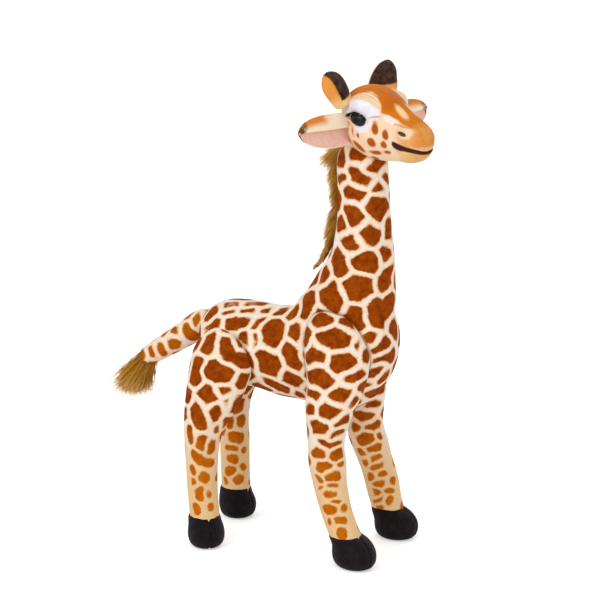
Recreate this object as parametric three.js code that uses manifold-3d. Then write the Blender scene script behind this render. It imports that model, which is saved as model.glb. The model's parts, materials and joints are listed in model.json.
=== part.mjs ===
import * as THREE from 'three';
import { mergeVertices } from 'three/addons/utils/BufferGeometryUtils.js';
import Module from 'manifold-3d';

const wasm = await Module();
wasm.setup();

// Driving dimensions, in millimetres. The giraffe faces +X, its left side is +Y.

// Cloth, thread and the room between sewn pieces
const coverThickness = 2;
const seam = 0.3;

// Torso, from the rump to the chest
const torsoLength = 211;
const torsoHeight = 108;
const torsoWidth = 85;
const bellyHeight = 157;

// Neck, which leans on a rounded foot in the torso and ends in a round top in the head
const neckLength = 138;
const neckFootDepth = 92;
const neckFootWidth = 59;
const neckTopRadius = 25;
const neckForwardSweep = 11.5;
const neckFillingMouthRadius = 12;

// Mane strip down the back of the neck
const maneHeight = 14;
const maneThickness = 13;
const maneLength = 124;
const maneTopRise = 12;

// Head, turned to its right on the round top of the neck
const headLength = 112;
const headHeight = 72;
const headWidth = 54;
const headBackReach = 19;
const jawRise = 5;
const headTurn = THREE.MathUtils.degToRad(-28);

// Mouth slit and nostrils
const mouthLength = 34;
const mouthHeight = 6;
const mouthLipHeight = 2.2;
const mouthLiningDepth = 1.2;
const nostrilLength = 8.5;
const nostrilWidth = 3.2;
const nostrilDepth = 1.6;

// Safety eyes with their stems, washers and lash strips
const eyeRadius = 6.5;
const eyeRise = 4.5;
const eyeStemRadius = 1.5;
const eyeStemLength = 11;
const washerRadius = 6;
const washerThickness = 1.6;
const lashReach = 2.4;
const lashThickness = 1.2;

// Horns
const hornHeight = 35;
const hornWidth = 25;
const hornThickness = 20;

// Ears, each a cupped leaf on a round root
const earLength = 55;
const earWidth = 35;
const earCupRadius = 22;
const earClothThickness = 1.4;
const earRootRadius = 1.8;
const rightEarLift = THREE.MathUtils.degToRad(0);
const leftEarLift = THREE.MathUtils.degToRad(6);

// Legs, from the pad at the shoulder or hip to the ankle
const legTrack = 96;
const frontLegHeight = 259;
const frontPadLength = 70;
const rearLegHeight = 233;
const rearPadLength = 70;
const padWidth = 40;
const frontLeftStride = 7;
const rearRightStride = 3;
const rearLeftStride = -4;
const legSwingRoom = 8;
const wireRadius = 1.6;

// Hooves, flat on the ground
const frontHoofLength = 45;
const rearHoofLength = 40;
const hoofWidth = 39;
const hoofHeight = 40;
const ankleHeight = 28;
const frontAnkleTilt = THREE.MathUtils.degToRad(24);
const rearAnkleTilt = THREE.MathUtils.degToRad(4);
const rightRearToeTurn = THREE.MathUtils.degToRad(-38);

// Tail and its tuft
const tailLength = 79;
const tailRootRadius = 16.5;
const tailTubeRadius = 14.5;
const tailTipRadius = 11;
const tailDrop = THREE.MathUtils.degToRad(33.5);
const tuftLength = 50;
const tuftWidth = 38;
const tuftThickness = 24;
const tuftDrop = THREE.MathUtils.degToRad(62);

// Number of sides round each form
const torsoSides = 16;
const neckSides = 14;
const headSides = 16;
const legSides = 10;
const hoofSides = 12;
const smallSides = 8;
const wireHalfSides = 3;
const wireSteps = 6;

// Materials

// A material with no metal in it, unless it says so.
function finish(color, roughness, metalness = 0) {
  return () => new THREE.MeshStandardMaterial({ color, roughness, metalness });
}

const patchedPlush = finish(0xb3612a, 0.95);
const legPlush = finish(0xd9a566, 0.95);
const facePlush = finish(0xdf8f4a, 0.95);
const fibreFilling = finish(0xf2f0ec, 1);
const longPile = finish(0x96701e, 1);
const hoofVelvet = finish(0x21171d, 0.9);
const hornBrown = finish(0x3a2820, 0.95);
const hornOrange = finish(0xe08c3a, 0.95);
const earLining = finish(0xe6af9b, 0.9);
const earPlush = finish(0xf0d6b4, 0.95);
const mouthFelt = finish(0x3c1616, 0.95);
const darkThread = finish(0x503c1e, 0.8);
const eyePlastic = finish(0x0d0d10, 0.15);
const washerPlastic = finish(0xe8e8e8, 0.5);
const lashFelt = finish(0x111014, 0.8);
const coatedWire = finish(0xc8c8c8, 0.4, 0.2);

// Solids and meshes

// How near two corners lie that count as one, as a share of the cloth's thickness.
const weldShare = 0.0001;
// The rings of a ball, as a share of its sides.
const ballRingShare = 0.6;
const leftward = new THREE.Vector3(0, 1, 0);
const upright = new THREE.Vector3(0, 0, 1);

// The closed solid of a geometry whose faces share their corners.
function solidOf(geometry) {
  geometry.deleteAttribute('normal');
  geometry.deleteAttribute('uv');
  const merged = mergeVertices(geometry, coverThickness * weldShare);
  const vertProperties = new Float32Array(merged.attributes.position.array);
  const triVerts = new Uint32Array(merged.index.array);
  return new wasm.Manifold(new wasm.Mesh({ numProp: 3, vertProperties, triVerts }));
}

// The named mesh of a solid, with its own material.
function pieceOf(name, solid, material) {
  const { vertProperties, triVerts } = solid.getMesh();
  const geometry = new THREE.BufferGeometry();
  geometry.setAttribute('position', new THREE.BufferAttribute(vertProperties, 3));
  geometry.setIndex(new THREE.BufferAttribute(triVerts, 1));
  geometry.computeVertexNormals();
  const mesh = new THREE.Mesh(geometry, material);
  mesh.name = name;
  return mesh;
}

// A closed form through oval sections, in order. Each section has a centre and two
// half axes, and the first and last are single points or flat ends.
function ovalForm(sections, sides) {
  const positions = [];
  const index = [];
  const ringStarts = [];
  for (const { centre, halfAcross, halfUp } of sections) {
    ringStarts.push(positions.length / 3);
    for (let side = 0; side < sides; side += 1) {
      const angle = (side / sides) * Math.PI * 2;
      const point = centre.clone();
      point.addScaledVector(halfAcross, Math.cos(angle));
      point.addScaledVector(halfUp, Math.sin(angle));
      positions.push(...point.toArray());
    }
  }
  for (let ring = 0; ring + 1 < sections.length; ring += 1) {
    for (let side = 0; side < sides; side += 1) {
      const next = (side + 1) % sides;
      const [low, high] = [ringStarts[ring], ringStarts[ring + 1]];
      index.push(low + side, low + next, high + next);
      index.push(low + side, high + next, high + side);
    }
  }
  for (const [ring, turned] of [[0, true], [sections.length - 1, false]]) {
    const middle = positions.length / 3;
    positions.push(...sections[ring].centre.toArray());
    for (let side = 0; side < sides; side += 1) {
      const corners = [ringStarts[ring] + side, ringStarts[ring] + ((side + 1) % sides)];
      index.push(middle, ...(turned ? corners.reverse() : corners));
    }
  }
  return positionedSolid(positions, index);
}

// The solid of points and triangles, turned right side out and freed of triangles
// that have no area where a section is a single point.
function positionedSolid(positions, index) {
  const geometry = new THREE.BufferGeometry();
  geometry.setAttribute('position', new THREE.Float32BufferAttribute(positions, 3));
  geometry.setIndex(index);
  const merged = mergeVertices(geometry, coverThickness * weldShare);
  const corners = merged.index.array;
  const kept = [];
  let volume = 0;
  const [a, b, c] = [new THREE.Vector3(), new THREE.Vector3(), new THREE.Vector3()];
  for (let start = 0; start < corners.length; start += 3) {
    const [i, j, k] = corners.slice(start, start + 3);
    if (i === j || j === k || k === i) continue;
    kept.push([i, j, k]);
    a.fromBufferAttribute(merged.attributes.position, i);
    b.fromBufferAttribute(merged.attributes.position, j);
    c.fromBufferAttribute(merged.attributes.position, k);
    volume += a.dot(b.cross(c));
  }
  const facing = volume < 0 ? kept.map(([i, j, k]) => [i, k, j]) : kept;
  merged.setIndex(facing.flat());
  return solidOf(merged);
}

// A ball or spheroid round a centre, with one radius along its pole and one round it.
function ballForm(centre, pole, poleRadius, roundRadius, sides) {
  const geometry = new THREE.SphereGeometry(1, sides, Math.round(sides * ballRingShare));
  return polarSolid(geometry, centre, pole, poleRadius, roundRadius);
}

// The room in which a ball of that size turns freely about its pole: its flat facets
// clear the ball's corners by a seam, and face them at rest.
function ballRoom(centre, pole, poleRadius, roundRadius, sides) {
  const halfFacet = Math.PI / sides;
  const geometry = new THREE.SphereGeometry(1, sides, Math.round(sides * ballRingShare));
  geometry.rotateY(halfFacet);
  const roomRadius = (roundRadius + seam) / Math.cos(halfFacet);
  return polarSolid(geometry, centre, pole, poleRadius + seam, roomRadius);
}

// A unit ball stretched along and round its pole, and moved to its centre.
function polarSolid(geometry, centre, pole, poleRadius, roundRadius) {
  geometry.scale(roundRadius, poleRadius, roundRadius);
  geometry.applyQuaternion(new THREE.Quaternion().setFromUnitVectors(leftward, pole));
  geometry.translate(centre.x, centre.y, centre.z);
  return solidOf(geometry);
}

// A round bar that starts at a point and runs along a direction.
function barForm(start, direction, radius, length, sides) {
  const geometry = new THREE.CylinderGeometry(radius, radius, length, sides);
  geometry.translate(0, length / 2, 0);
  const turn = new THREE.Quaternion().setFromUnitVectors(new THREE.Vector3(0, 1, 0), direction);
  geometry.applyQuaternion(turn);
  geometry.translate(start.x, start.y, start.z);
  return solidOf(geometry);
}

// A box between two opposite corners.
function boxForm(low, high) {
  const size = high.clone().sub(low);
  const middle = low.clone().add(high).multiplyScalar(0.5);
  const geometry = new THREE.BoxGeometry(size.x, size.y, size.z);
  geometry.translate(middle.x, middle.y, middle.z);
  return solidOf(geometry);
}

// A tube along a smooth curve through points.
function tubeForm(points, radius) {
  const path = new THREE.CatmullRomCurve3(points);
  const section = new THREE.Shape();
  section.absarc(0, 0, radius, 0, Math.PI * 2);
  const options = { steps: wireSteps, extrudePath: path, curveSegments: wireHalfSides, bevelEnabled: false };
  return solidOf(new THREE.ExtrudeGeometry(section, options));
}

// Torso

// Share of the length from the rump, rise of the centre as a share of the height, and
// half height and half width as shares of the height and the width.
const torsoShares = [
  [0, 0.509, 0, 0],
  [0.018, 0.5, 0.13, 0.153],
  [0.055, 0.481, 0.25, 0.294],
  [0.12, 0.458, 0.356, 0.365],
  [0.22, 0.435, 0.407, 0.375],
  [0.323, 0.426, 0.416, 0.41],
  [0.438, 0.426, 0.417, 0.45],
  [0.553, 0.463, 0.449, 0.445],
  [0.668, 0.491, 0.481, 0.395],
  [0.77, 0.5, 0.5, 0.365],
  [0.876, 0.523, 0.472, 0.388],
  [0.945, 0.565, 0.389, 0.353],
  [0.986, 0.602, 0.25, 0.247],
  [1, 0.62, 0, 0],
];
const legSeatShare = 0.365;
const shoulderShare = 0.792;
const hipShare = 0.19;
const shoulderRiseShare = 0.593;
const hipRiseShare = 0.44;

const rumpX = -torsoLength / 2;
const shoulderX = rumpX + torsoLength * shoulderShare;
const hipX = rumpX + torsoLength * hipShare;
const shoulderZ = bellyHeight + torsoHeight * shoulderRiseShare;
const hipZ = bellyHeight + torsoHeight * hipRiseShare;
const legSeatY = torsoWidth * legSeatShare;

// The body of the torso, drawn in all round by an inset.
function torsoForm(inset) {
  const sections = torsoShares.map(([along, rise, halfHeight, halfWidth]) => {
    const isEnd = halfHeight === 0;
    const towardsMiddle = along < 0.5 ? inset : -inset;
    const x = rumpX + torsoLength * along + (isEnd ? towardsMiddle : 0);
    const up = isEnd ? 0 : torsoHeight * halfHeight - inset;
    const across = isEnd ? 0 : torsoWidth * halfWidth - inset;
    return {
      centre: new THREE.Vector3(x, 0, bellyHeight + torsoHeight * rise),
      halfAcross: new THREE.Vector3(0, across, 0),
      halfUp: new THREE.Vector3(0, 0, up),
    };
  });
  return ovalForm(sections, torsoSides);
}

// The room beside the torso in which one leg pad swings: an arch over the joint and a
// straight way down, outside the flat face where the pad lies on the torso.
function padRoom(x, z, padLength, side, inset) {
  const arch = new THREE.Shape();
  const reach = padLength / 2 + legSwingRoom + inset;
  arch.absarc(0, 0, reach, 0, Math.PI);
  arch.lineTo(-reach, -bellyHeight);
  arch.lineTo(reach, -bellyHeight);
  const depth = torsoWidth;
  const options = { depth, curveSegments: smallSides, bevelEnabled: false };
  const geometry = new THREE.ExtrudeGeometry(arch, options);
  geometry.rotateX(Math.PI / 2);
  const face = legSeatY - seam - inset;
  geometry.translate(x, side > 0 ? face + depth : -face, z);
  return solidOf(geometry);
}

// The torso with its four flat seats for the leg pads.
function seatedTorso(inset) {
  let form = torsoForm(inset);
  for (const side of [1, -1]) {
    form = form.subtract(padRoom(shoulderX, shoulderZ, frontPadLength, side, inset));
    form = form.subtract(padRoom(hipX, hipZ, rearPadLength, side, inset));
  }
  return form;
}

// Neck

// Share of the length from the foot, share of the forward sweep, and how much of the
// difference between the foot and the top is left in depth and in width.
const neckShares = [
  [-0.07, 0, 0.86, 0.86],
  [0, 0, 1, 1],
  [0.0725, 0.18, 0.832, 0.91],
  [0.152, 0.42, 0.65, 0.73],
  [0.261, 0.707, 0.455, 0.545],
  [0.377, 0.867, 0.295, 0.36],
  [0.493, 0.947, 0.164, 0.27],
  [0.609, 0.987, 0.068, 0.18],
  [0.725, 1, 0.023, 0.09],
  [0.862, 0.967, 0, 0],
  [1, 0.933, 0, 0],
];
const neckTopSweepShare = 0.933;
const neckFootRiseShare = 1.02;

const neckFoot = new THREE.Vector3(shoulderX, 0, bellyHeight + torsoHeight * neckFootRiseShare);
const headPivot = new THREE.Vector3(
  neckFoot.x + neckForwardSweep * neckTopSweepShare,
  0,
  neckFoot.z + neckLength,
);

// The centre and half axes of the neck at one row of its shares.
function neckSection([along, sweep, depthLeft, widthLeft], inset) {
  const halfDepth = neckTopRadius + (neckFootDepth / 2 - neckTopRadius) * depthLeft;
  const halfWidth = neckTopRadius + (neckFootWidth / 2 - neckTopRadius) * widthLeft;
  return {
    centre: neckFoot.clone().add(new THREE.Vector3(neckForwardSweep * sweep, 0, neckLength * along)),
    halfAcross: new THREE.Vector3(halfDepth - inset, 0, 0),
    halfUp: new THREE.Vector3(0, halfWidth - inset, 0),
  };
}

// The rounded foot of the neck, the same all round the axis on which the neck leans.
function neckFootForm(inset) {
  const halfDepth = neckFootDepth / 2 - inset;
  const ball = ballForm(neckFoot, leftward, neckFootWidth / 2 - inset, halfDepth, neckSides);
  const low = neckFoot.clone().add(new THREE.Vector3(-neckFootDepth, -neckFootWidth, 0));
  const high = neckFoot.clone().add(new THREE.Vector3(neckFootDepth, neckFootWidth, neckFootDepth));
  return ball.subtract(boxForm(low, high));
}

// The round top of the neck, on which the head turns.
function neckTopForm(inset) {
  const radius = neckTopRadius - inset;
  return ballForm(headPivot, upright, radius, radius, neckSides);
}

// The whole neck, drawn in all round by an inset.
function neckForm(inset) {
  const sections = neckShares.map((row) => neckSection(row, inset));
  return ovalForm(sections, neckSides).add(neckFootForm(inset)).add(neckTopForm(inset));
}

// Legs

// Share of the leg's height, forward reach from the joint as a share of that height,
// inward shift as a share of half the track, and half length and half width as shares
// of the pad's length and width.
const frontLegShares = [
  [1, -0.008, 0.085, 0, 0],
  [0.978, -0.008, 0.085, 0.23, 0.27],
  [0.915, -0.002, 0.085, 0.443, 0.45],
  [0.824, 0.002, 0.085, 0.5, 0.5],
  [0.715, -0.004, 0.07, 0.45, 0.475],
  [0.618, -0.014, 0.03, 0.35, 0.43],
  [0.539, -0.026, 0.02, 0.278, 0.425],
  [0.47, -0.034, 0.02, 0.247, 0.425],
  [0.397, -0.027, 0.01, 0.255, 0.44],
  [0.314, -0.017, 0, 0.225, 0.395],
  [0.225, 0.004, 0, 0.219, 0.38],
  [0.15, 0.03, 0, 0.225, 0.385],
  [0.075, 0.068, 0, 0.229, 0.39],
];
const rearLegShares = [
  [1, 0.018, 0.085, 0, 0],
  [0.976, 0.017, 0.085, 0.24, 0.27],
  [0.906, 0.009, 0.085, 0.443, 0.45],
  [0.814, -0.002, 0.085, 0.5, 0.5],
  [0.717, -0.018, 0.06, 0.457, 0.475],
  [0.628, -0.041, 0.03, 0.39, 0.44],
  [0.545, -0.066, 0.02, 0.305, 0.42],
  [0.462, -0.085, 0.02, 0.25, 0.412],
  [0.364, -0.09, 0.02, 0.23, 0.395],
  [0.256, -0.09, 0.02, 0.217, 0.375],
  [0.075, -0.082, 0.02, 0.217, 0.375],
];
// Share of the hoof's height, shift back from its middle as a share of its length,
// and half length and half width as shares of its length and width.
const hoofShares = [
  [0, 0, 0.435, 0.43],
  [0.07, 0, 0.48, 0.48],
  [0.27, 0, 0.5, 0.5],
  [0.48, -0.045, 0.475, 0.495],
  [0.67, -0.13, 0.43, 0.46],
  [0.83, -0.24, 0.38, 0.425],
  [1, -0.33, 0.33, 0.39],
];
const rearHoofShiftShare = 0.3;
// How far the hoof's middle lies ahead of the ankle, as a share of its length.
const frontHoofReachShare = 0.24;
const rearHoofReachShare = 0.07;
// Where the wire passes, as shares of the leg's height.
const wireRunShares = [0.72, 0.53, 0.36, 0.2, 0.075];

// Four legs: joint, shape, hoof and ankle.
const legs = [
  { name: 'front_right', isFront: true, side: -1, toeTurn: 0, stride: 0 },
  { name: 'front_left', isFront: true, side: 1, toeTurn: 0, stride: frontLeftStride },
  { name: 'rear_right', isFront: false, side: -1, toeTurn: rightRearToeTurn, stride: rearRightStride },
  { name: 'rear_left', isFront: false, side: 1, toeTurn: 0, stride: rearLeftStride },
];

// The centre of a leg at one row of its shares.
function legCentre(leg, [along, forward, inward]) {
  const height = leg.isFront ? frontLegHeight : rearLegHeight;
  const jointX = leg.isFront ? shoulderX : hipX;
  const x = jointX + height * forward + leg.stride * (1 - along);
  const y = leg.side * (legTrack / 2) * (1 - inward);
  return new THREE.Vector3(x, y, height * along);
}

// The swelling and tapering leg, drawn in all round by an inset.
function legForm(leg, inset) {
  const rows = leg.isFront ? frontLegShares : rearLegShares;
  const padLength = leg.isFront ? frontPadLength : rearPadLength;
  const sections = rows.map((row) => {
    const [, , , halfLength, halfWidth] = row;
    const isEnd = halfLength === 0;
    return {
      centre: legCentre(leg, row).add(new THREE.Vector3(0, 0, isEnd ? -inset : 0)),
      halfAcross: new THREE.Vector3(isEnd ? 0 : padLength * halfLength - inset, 0, 0),
      halfUp: new THREE.Vector3(0, isEnd ? 0 : padWidth * halfWidth - inset, 0),
    };
  });
  const flatSide = boxForm(
    new THREE.Vector3(-torsoLength, leg.side > 0 ? 0 : -legSeatY - inset, bellyHeight - legSwingRoom),
    new THREE.Vector3(torsoLength, leg.side > 0 ? legSeatY + inset : 0, frontLegHeight + torsoHeight),
  );
  return ovalForm(sections, legSides).subtract(flatSide);
}

// The point on a leg's centre line at a share of its height.
function legPointAt(leg, share) {
  const rows = leg.isFront ? frontLegShares : rearLegShares;
  const below = rows.findIndex(([along]) => along <= share);
  const [high, low] = [rows[below - 1], rows[below]];
  const blend = (share - low[0]) / (high[0] - low[0]);
  return legCentre(leg, low).lerp(legCentre(leg, high), blend);
}

// The half space below the ankle's seam, moved up by an offset.
function belowAnkle(leg, offset) {
  const height = leg.isFront ? frontLegHeight : rearLegHeight;
  const ankle = legPointAt(leg, ankleHeight / height);
  const geometry = new THREE.BoxGeometry(torsoLength, legTrack, torsoHeight);
  geometry.translate(0, 0, offset - torsoHeight / 2);
  geometry.rotateY(leg.isFront ? -frontAnkleTilt : -rearAnkleTilt);
  geometry.translate(ankle.x, ankle.y, ankle.z);
  return solidOf(geometry);
}

// The hoof: a rounded boot with a flat sole that widens below the ankle.
function hoofForm(leg) {
  const length = leg.isFront ? frontHoofLength : rearHoofLength;
  const ankle = legPointAt(leg, ankleHeight / (leg.isFront ? frontLegHeight : rearLegHeight));
  const reach = length * (leg.isFront ? frontHoofReachShare : rearHoofReachShare);
  const sections = hoofShares.map(([along, back, halfLength, halfWidth]) => {
    const shift = leg.isFront ? back * length : back * length * rearHoofShiftShare;
    const turned = new THREE.Vector3(reach + shift, 0, 0);
    turned.applyAxisAngle(new THREE.Vector3(0, 0, 1), leg.toeTurn);
    const across = new THREE.Vector3(length * halfLength, 0, 0);
    const up = new THREE.Vector3(0, hoofWidth * halfWidth, 0);
    across.applyAxisAngle(new THREE.Vector3(0, 0, 1), leg.toeTurn);
    up.applyAxisAngle(new THREE.Vector3(0, 0, 1), leg.toeTurn);
    return {
      centre: new THREE.Vector3(ankle.x + turned.x, ankle.y + turned.y, hoofHeight * along),
      halfAcross: across,
      halfUp: up,
    };
  });
  return ovalForm(sections, hoofSides);
}

// The wire down the middle of a leg, from the pad into the hoof.
function legWire(leg, growth) {
  return tubeForm(wireRunShares.map((share) => legPointAt(leg, share)), wireRadius + growth);
}

// The four pieces of one leg.
function legPieces(leg) {
  const below = belowAnkle(leg, seam / 2);
  const outer = legForm(leg, 0);
  const cover = outer.subtract(legForm(leg, coverThickness)).subtract(below);
  const wireRoom = legWire(leg, seam);
  const filling = legForm(leg, coverThickness + seam).subtract(below).subtract(wireRoom);
  const hoof = hoofForm(leg).intersect(belowAnkle(leg, -seam / 2)).subtract(wireRoom);
  return [
    pieceOf(`leg_${leg.name}_cover`, cover, legPlush()),
    pieceOf(`leg_${leg.name}_filling`, filling, fibreFilling()),
    pieceOf(`leg_${leg.name}_wire`, legWire(leg, 0), coatedWire()),
    pieceOf(`hoof_${leg.name}`, hoof, hoofVelvet()),
  ];
}

// Tail

const tailRootRiseShare = 0.556;
const tailRootProudShare = 0.18;
const tailPivot = new THREE.Vector3(
  rumpX - tailRootRadius * tailRootProudShare,
  0,
  bellyHeight + torsoHeight * tailRootRiseShare,
);
const tailDirection = new THREE.Vector3(-Math.cos(tailDrop), 0, -Math.sin(tailDrop));
const tailShares = [0, 0.3, 0.6, 0.9, 0.97, 1];
const tailRoundShares = [1, 1, 1, 1, 0.75, 0];
// Share of the tuft's length, and of its half width and half thickness.
const tuftShares = [
  [0, 0.35],
  [0.15, 0.7],
  [0.4, 0.9],
  [0.65, 1],
  [0.85, 0.75],
  [1, 0.2],
];
const tuftStartShare = 0.88;

// A section of the tail or tuft at a distance from a point along a drop.
function dropSection(start, drop, distance, halfAcross, halfUp) {
  const along = new THREE.Vector3(-Math.cos(drop), 0, -Math.sin(drop));
  const up = new THREE.Vector3(-Math.sin(drop), 0, Math.cos(drop));
  return {
    centre: start.clone().addScaledVector(along, distance),
    halfAcross: new THREE.Vector3(0, halfAcross, 0),
    halfUp: up.multiplyScalar(halfUp),
  };
}

// The round root of the tail, on which it lifts.
function tailRootForm(inset) {
  const radius = tailRootRadius - inset;
  return ballForm(tailPivot, leftward, radius, radius, legSides);
}

// The tail's tube and root, drawn in all round by an inset.
function tailForm(inset) {
  const sections = tailShares.map((share, row) => {
    const radius = tailTubeRadius + (tailTipRadius - tailTubeRadius) * share;
    const round = tailRoundShares[row];
    const half = round === 0 ? 0 : radius * round - inset;
    const distance = tailLength * share - (round === 0 ? inset : 0);
    return dropSection(tailPivot, tailDrop, distance, half, half);
  });
  return ovalForm(sections, legSides).add(tailRootForm(inset));
}

// The tail's three pieces. The cover is open towards the rump.
function tailPieces() {
  const inwards = tailDirection.clone().negate();
  const mouth = barForm(tailPivot, inwards, tailTipRadius / 2, torsoHeight, smallSides);
  const tuftTop = tailPivot.clone().addScaledVector(tailDirection, tailLength * tuftStartShare);
  const tuftSections = tuftShares.map(([along, round]) => {
    const [halfAcross, halfUp] = [tuftThickness, tuftWidth].map((size) => (size / 2) * round);
    return dropSection(tuftTop, tuftDrop, tuftLength * along, halfAcross, halfUp);
  });
  const tuft = ovalForm(tuftSections, legSides).subtract(tailForm(-seam));
  return [
    pieceOf('tail_cover', tailForm(0).subtract(tailForm(coverThickness)).subtract(mouth), patchedPlush()),
    pieceOf('tail_filling', tailForm(coverThickness + seam), fibreFilling()),
    pieceOf('tail_tuft', tuft, longPile()),
  ];
}

// The torso's cover and filling, hollowed for the neck's foot and the tail's root.
function torsoPieces() {
  const neckRoom = ballRoom(neckFoot, leftward, neckFootWidth / 2, neckFootDepth / 2, neckSides);
  const tailRoom = ballRoom(tailPivot, leftward, tailRootRadius, tailRootRadius, legSides);
  const cover = seatedTorso(0).subtract(seatedTorso(coverThickness));
  const filling = seatedTorso(coverThickness + seam);
  return [
    pieceOf('torso_cover', cover.subtract(neckRoom).subtract(tailRoom), patchedPlush()),
    pieceOf('torso_filling', filling.subtract(neckRoom).subtract(tailRoom), fibreFilling()),
  ];
}

// Where the neck's wire passes, as shares of the neck's length.
const neckWireShares = [-0.12, 0, 0.261, 0.609, 1.03];

// The wire up the middle of the neck.
function neckWire(growth) {
  const points = neckWireShares.map((share) => {
    const above = neckShares.findIndex(([along]) => along >= share);
    const row = neckShares[above < 0 ? neckShares.length - 1 : above];
    const centre = neckSection(row, 0).centre;
    centre.z = neckFoot.z + neckLength * share;
    return centre;
  });
  return tubeForm(points, wireRadius + growth);
}

// The mane's ridge follows the back of the neck, with a blunt top and a tapered end.
const maneShares = [
  [1.04, 0, 0],
  [1.02, 0.6, 0.7],
  [0.862, 0.95, 1],
  [0.609, 1, 1],
  [0.377, 0.85, 0.95],
  [0.25, 0.65, 0.8],
  [0.19, 0, 0],
];

// Where the back of the neck lies, at a share of its length.
function neckBackAt(share) {
  const above = Math.max(1, neckShares.findIndex(([along]) => along >= share));
  const low = neckSection(neckShares[above - 1], 0);
  const high = neckSection(neckShares[above], 0);
  const span = neckShares[above][0] - neckShares[above - 1][0];
  const blend = (share - neckShares[above - 1][0]) / span;
  const lowBack = low.centre.x - low.halfAcross.x;
  const highBack = high.centre.x - high.halfAcross.x;
  return lowBack + (highBack - lowBack) * blend;
}

// The mane's strip, from behind the head down the back of the neck.
function maneForm() {
  const topShare = maneShares[0][0];
  const endShare = maneShares.at(-1)[0];
  const sections = maneShares.map(([share, proud, thick]) => {
    const along = (share - endShare) / (topShare - endShare);
    const z = headPivot.z + maneTopRise - maneLength * (1 - along);
    const x = neckBackAt(Math.min(1, (z - neckFoot.z) / neckLength));
    return {
      centre: new THREE.Vector3(x, 0, z),
      halfAcross: new THREE.Vector3(maneHeight * proud, 0, 0),
      halfUp: new THREE.Vector3(0, (maneThickness / 2) * thick, 0),
    };
  });
  return ovalForm(sections, smallSides);
}

// The neck's cover, filling and wire, and the mane sewn to its back.
function neckPieces() {
  const down = new THREE.Vector3(0, 0, -1);
  const mouth = barForm(neckFoot, down, neckFillingMouthRadius, neckFootDepth, legSides);
  const cover = neckForm(0).subtract(neckForm(coverThickness)).subtract(mouth);
  const wireEnd = neckFoot.clone().add(new THREE.Vector3(0, 0, neckLength * neckWireShares[0]));
  const wireWay = barForm(wireEnd, down, wireRadius + seam, neckFootDepth, smallSides);
  const filling = neckForm(coverThickness + seam).subtract(neckWire(seam)).subtract(wireWay);
  return [
    pieceOf('neck_cover', cover, patchedPlush()),
    pieceOf('neck_filling', filling, fibreFilling()),
    pieceOf('neck_wire', neckWire(0), coatedWire()),
    pieceOf('mane', maneForm().subtract(neckForm(-seam)), longPile()),
  ];
}

// Head, in its own frame: +X towards the nose, origin at the centre of the neck's top

// Share of the length from the back of the head, rise of the centre and half height as
// shares of the height, and half width as a share of the width.
const headShares = [
  [0, 0.556, 0, 0],
  [0.02, 0.556, 0.167, 0.185],
  [0.071, 0.542, 0.347, 0.352],
  [0.17, 0.521, 0.451, 0.472],
  [0.277, 0.507, 0.49, 0.5],
  [0.4, 0.483, 0.487, 0.5],
  [0.527, 0.445, 0.445, 0.46],
  [0.652, 0.396, 0.372, 0.38],
  [0.777, 0.361, 0.313, 0.343],
  [0.866, 0.333, 0.257, 0.315],
  [0.938, 0.313, 0.18, 0.269],
  [0.98, 0.306, 0.09, 0.157],
  [1, 0.306, 0, 0],
];

// The head, drawn in all round by an inset.
function headForm(inset) {
  const sections = headShares.map(([along, rise, halfHeight, halfWidth]) => {
    const isEnd = halfHeight === 0;
    const towardsMiddle = along < 0.5 ? inset : -inset;
    const x = headLength * along - headBackReach + (isEnd ? towardsMiddle : 0);
    const up = isEnd ? 0 : headHeight * halfHeight - inset;
    const across = isEnd ? 0 : headWidth * halfWidth - inset;
    return {
      centre: new THREE.Vector3(x, 0, jawRise + headHeight * rise),
      halfAcross: new THREE.Vector3(0, across, 0),
      halfUp: new THREE.Vector3(0, 0, up),
    };
  });
  return ovalForm(sections, headSides);
}

// The point on the head's skin at a share of its length and an angle up from its side.
function headSkinAt(alongShare, angle, side) {
  const above = headShares.findIndex(([along]) => along >= alongShare);
  const [low, high] = [headShares[above - 1], headShares[above]];
  const blend = (alongShare - low[0]) / (high[0] - low[0]);
  const row = low.map((value, column) => value + (high[column] - value) * blend);
  const [, rise, halfHeight, halfWidth] = row;
  const x = headLength * alongShare - headBackReach;
  const y = side * headWidth * halfWidth * Math.cos(angle);
  const z = jawRise + headHeight * (rise + halfHeight * Math.sin(angle));
  return new THREE.Vector3(x, y, z);
}

// The direction that points straight out of the head's skin there.
function headSkinOut(alongShare, angle, side) {
  const stepShare = 0.02;
  const behind = headSkinAt(alongShare - stepShare, angle, side);
  const ahead = headSkinAt(alongShare + stepShare, angle, side);
  const below = headSkinAt(alongShare, angle - stepShare, side);
  const above = headSkinAt(alongShare, angle + stepShare, side);
  return ahead.sub(behind).cross(above.sub(below)).multiplyScalar(-side).normalize();
}

// Mouth slit: a wedge seen from the side, open at the corner and thin at the lips.
const mouthCornerShare = 0.74;
const mouthRiseShare = 0.32;
const mouthDropShare = 0.1;

// The room of the mouth slit, grown all round.
function mouthWedge(growth) {
  const cornerX = headLength * mouthCornerShare - headBackReach;
  const cornerZ = jawRise + headHeight * mouthRiseShare;
  const frontZ = cornerZ - headHeight * mouthDropShare;
  const wedge = new THREE.Shape();
  wedge.moveTo(cornerX - growth, cornerZ - mouthHeight / 2 - growth);
  wedge.lineTo(cornerX + mouthLength, frontZ - mouthLipHeight / 2 - growth);
  wedge.lineTo(cornerX + mouthLength, frontZ + mouthLipHeight / 2 + growth);
  wedge.lineTo(cornerX - growth, cornerZ + mouthHeight / 2 + growth);
  const geometry = new THREE.ExtrudeGeometry(wedge, { depth: headWidth, bevelEnabled: false });
  geometry.rotateX(Math.PI / 2);
  geometry.translate(0, headWidth / 2, 0);
  return solidOf(geometry);
}

// Eyes

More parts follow.
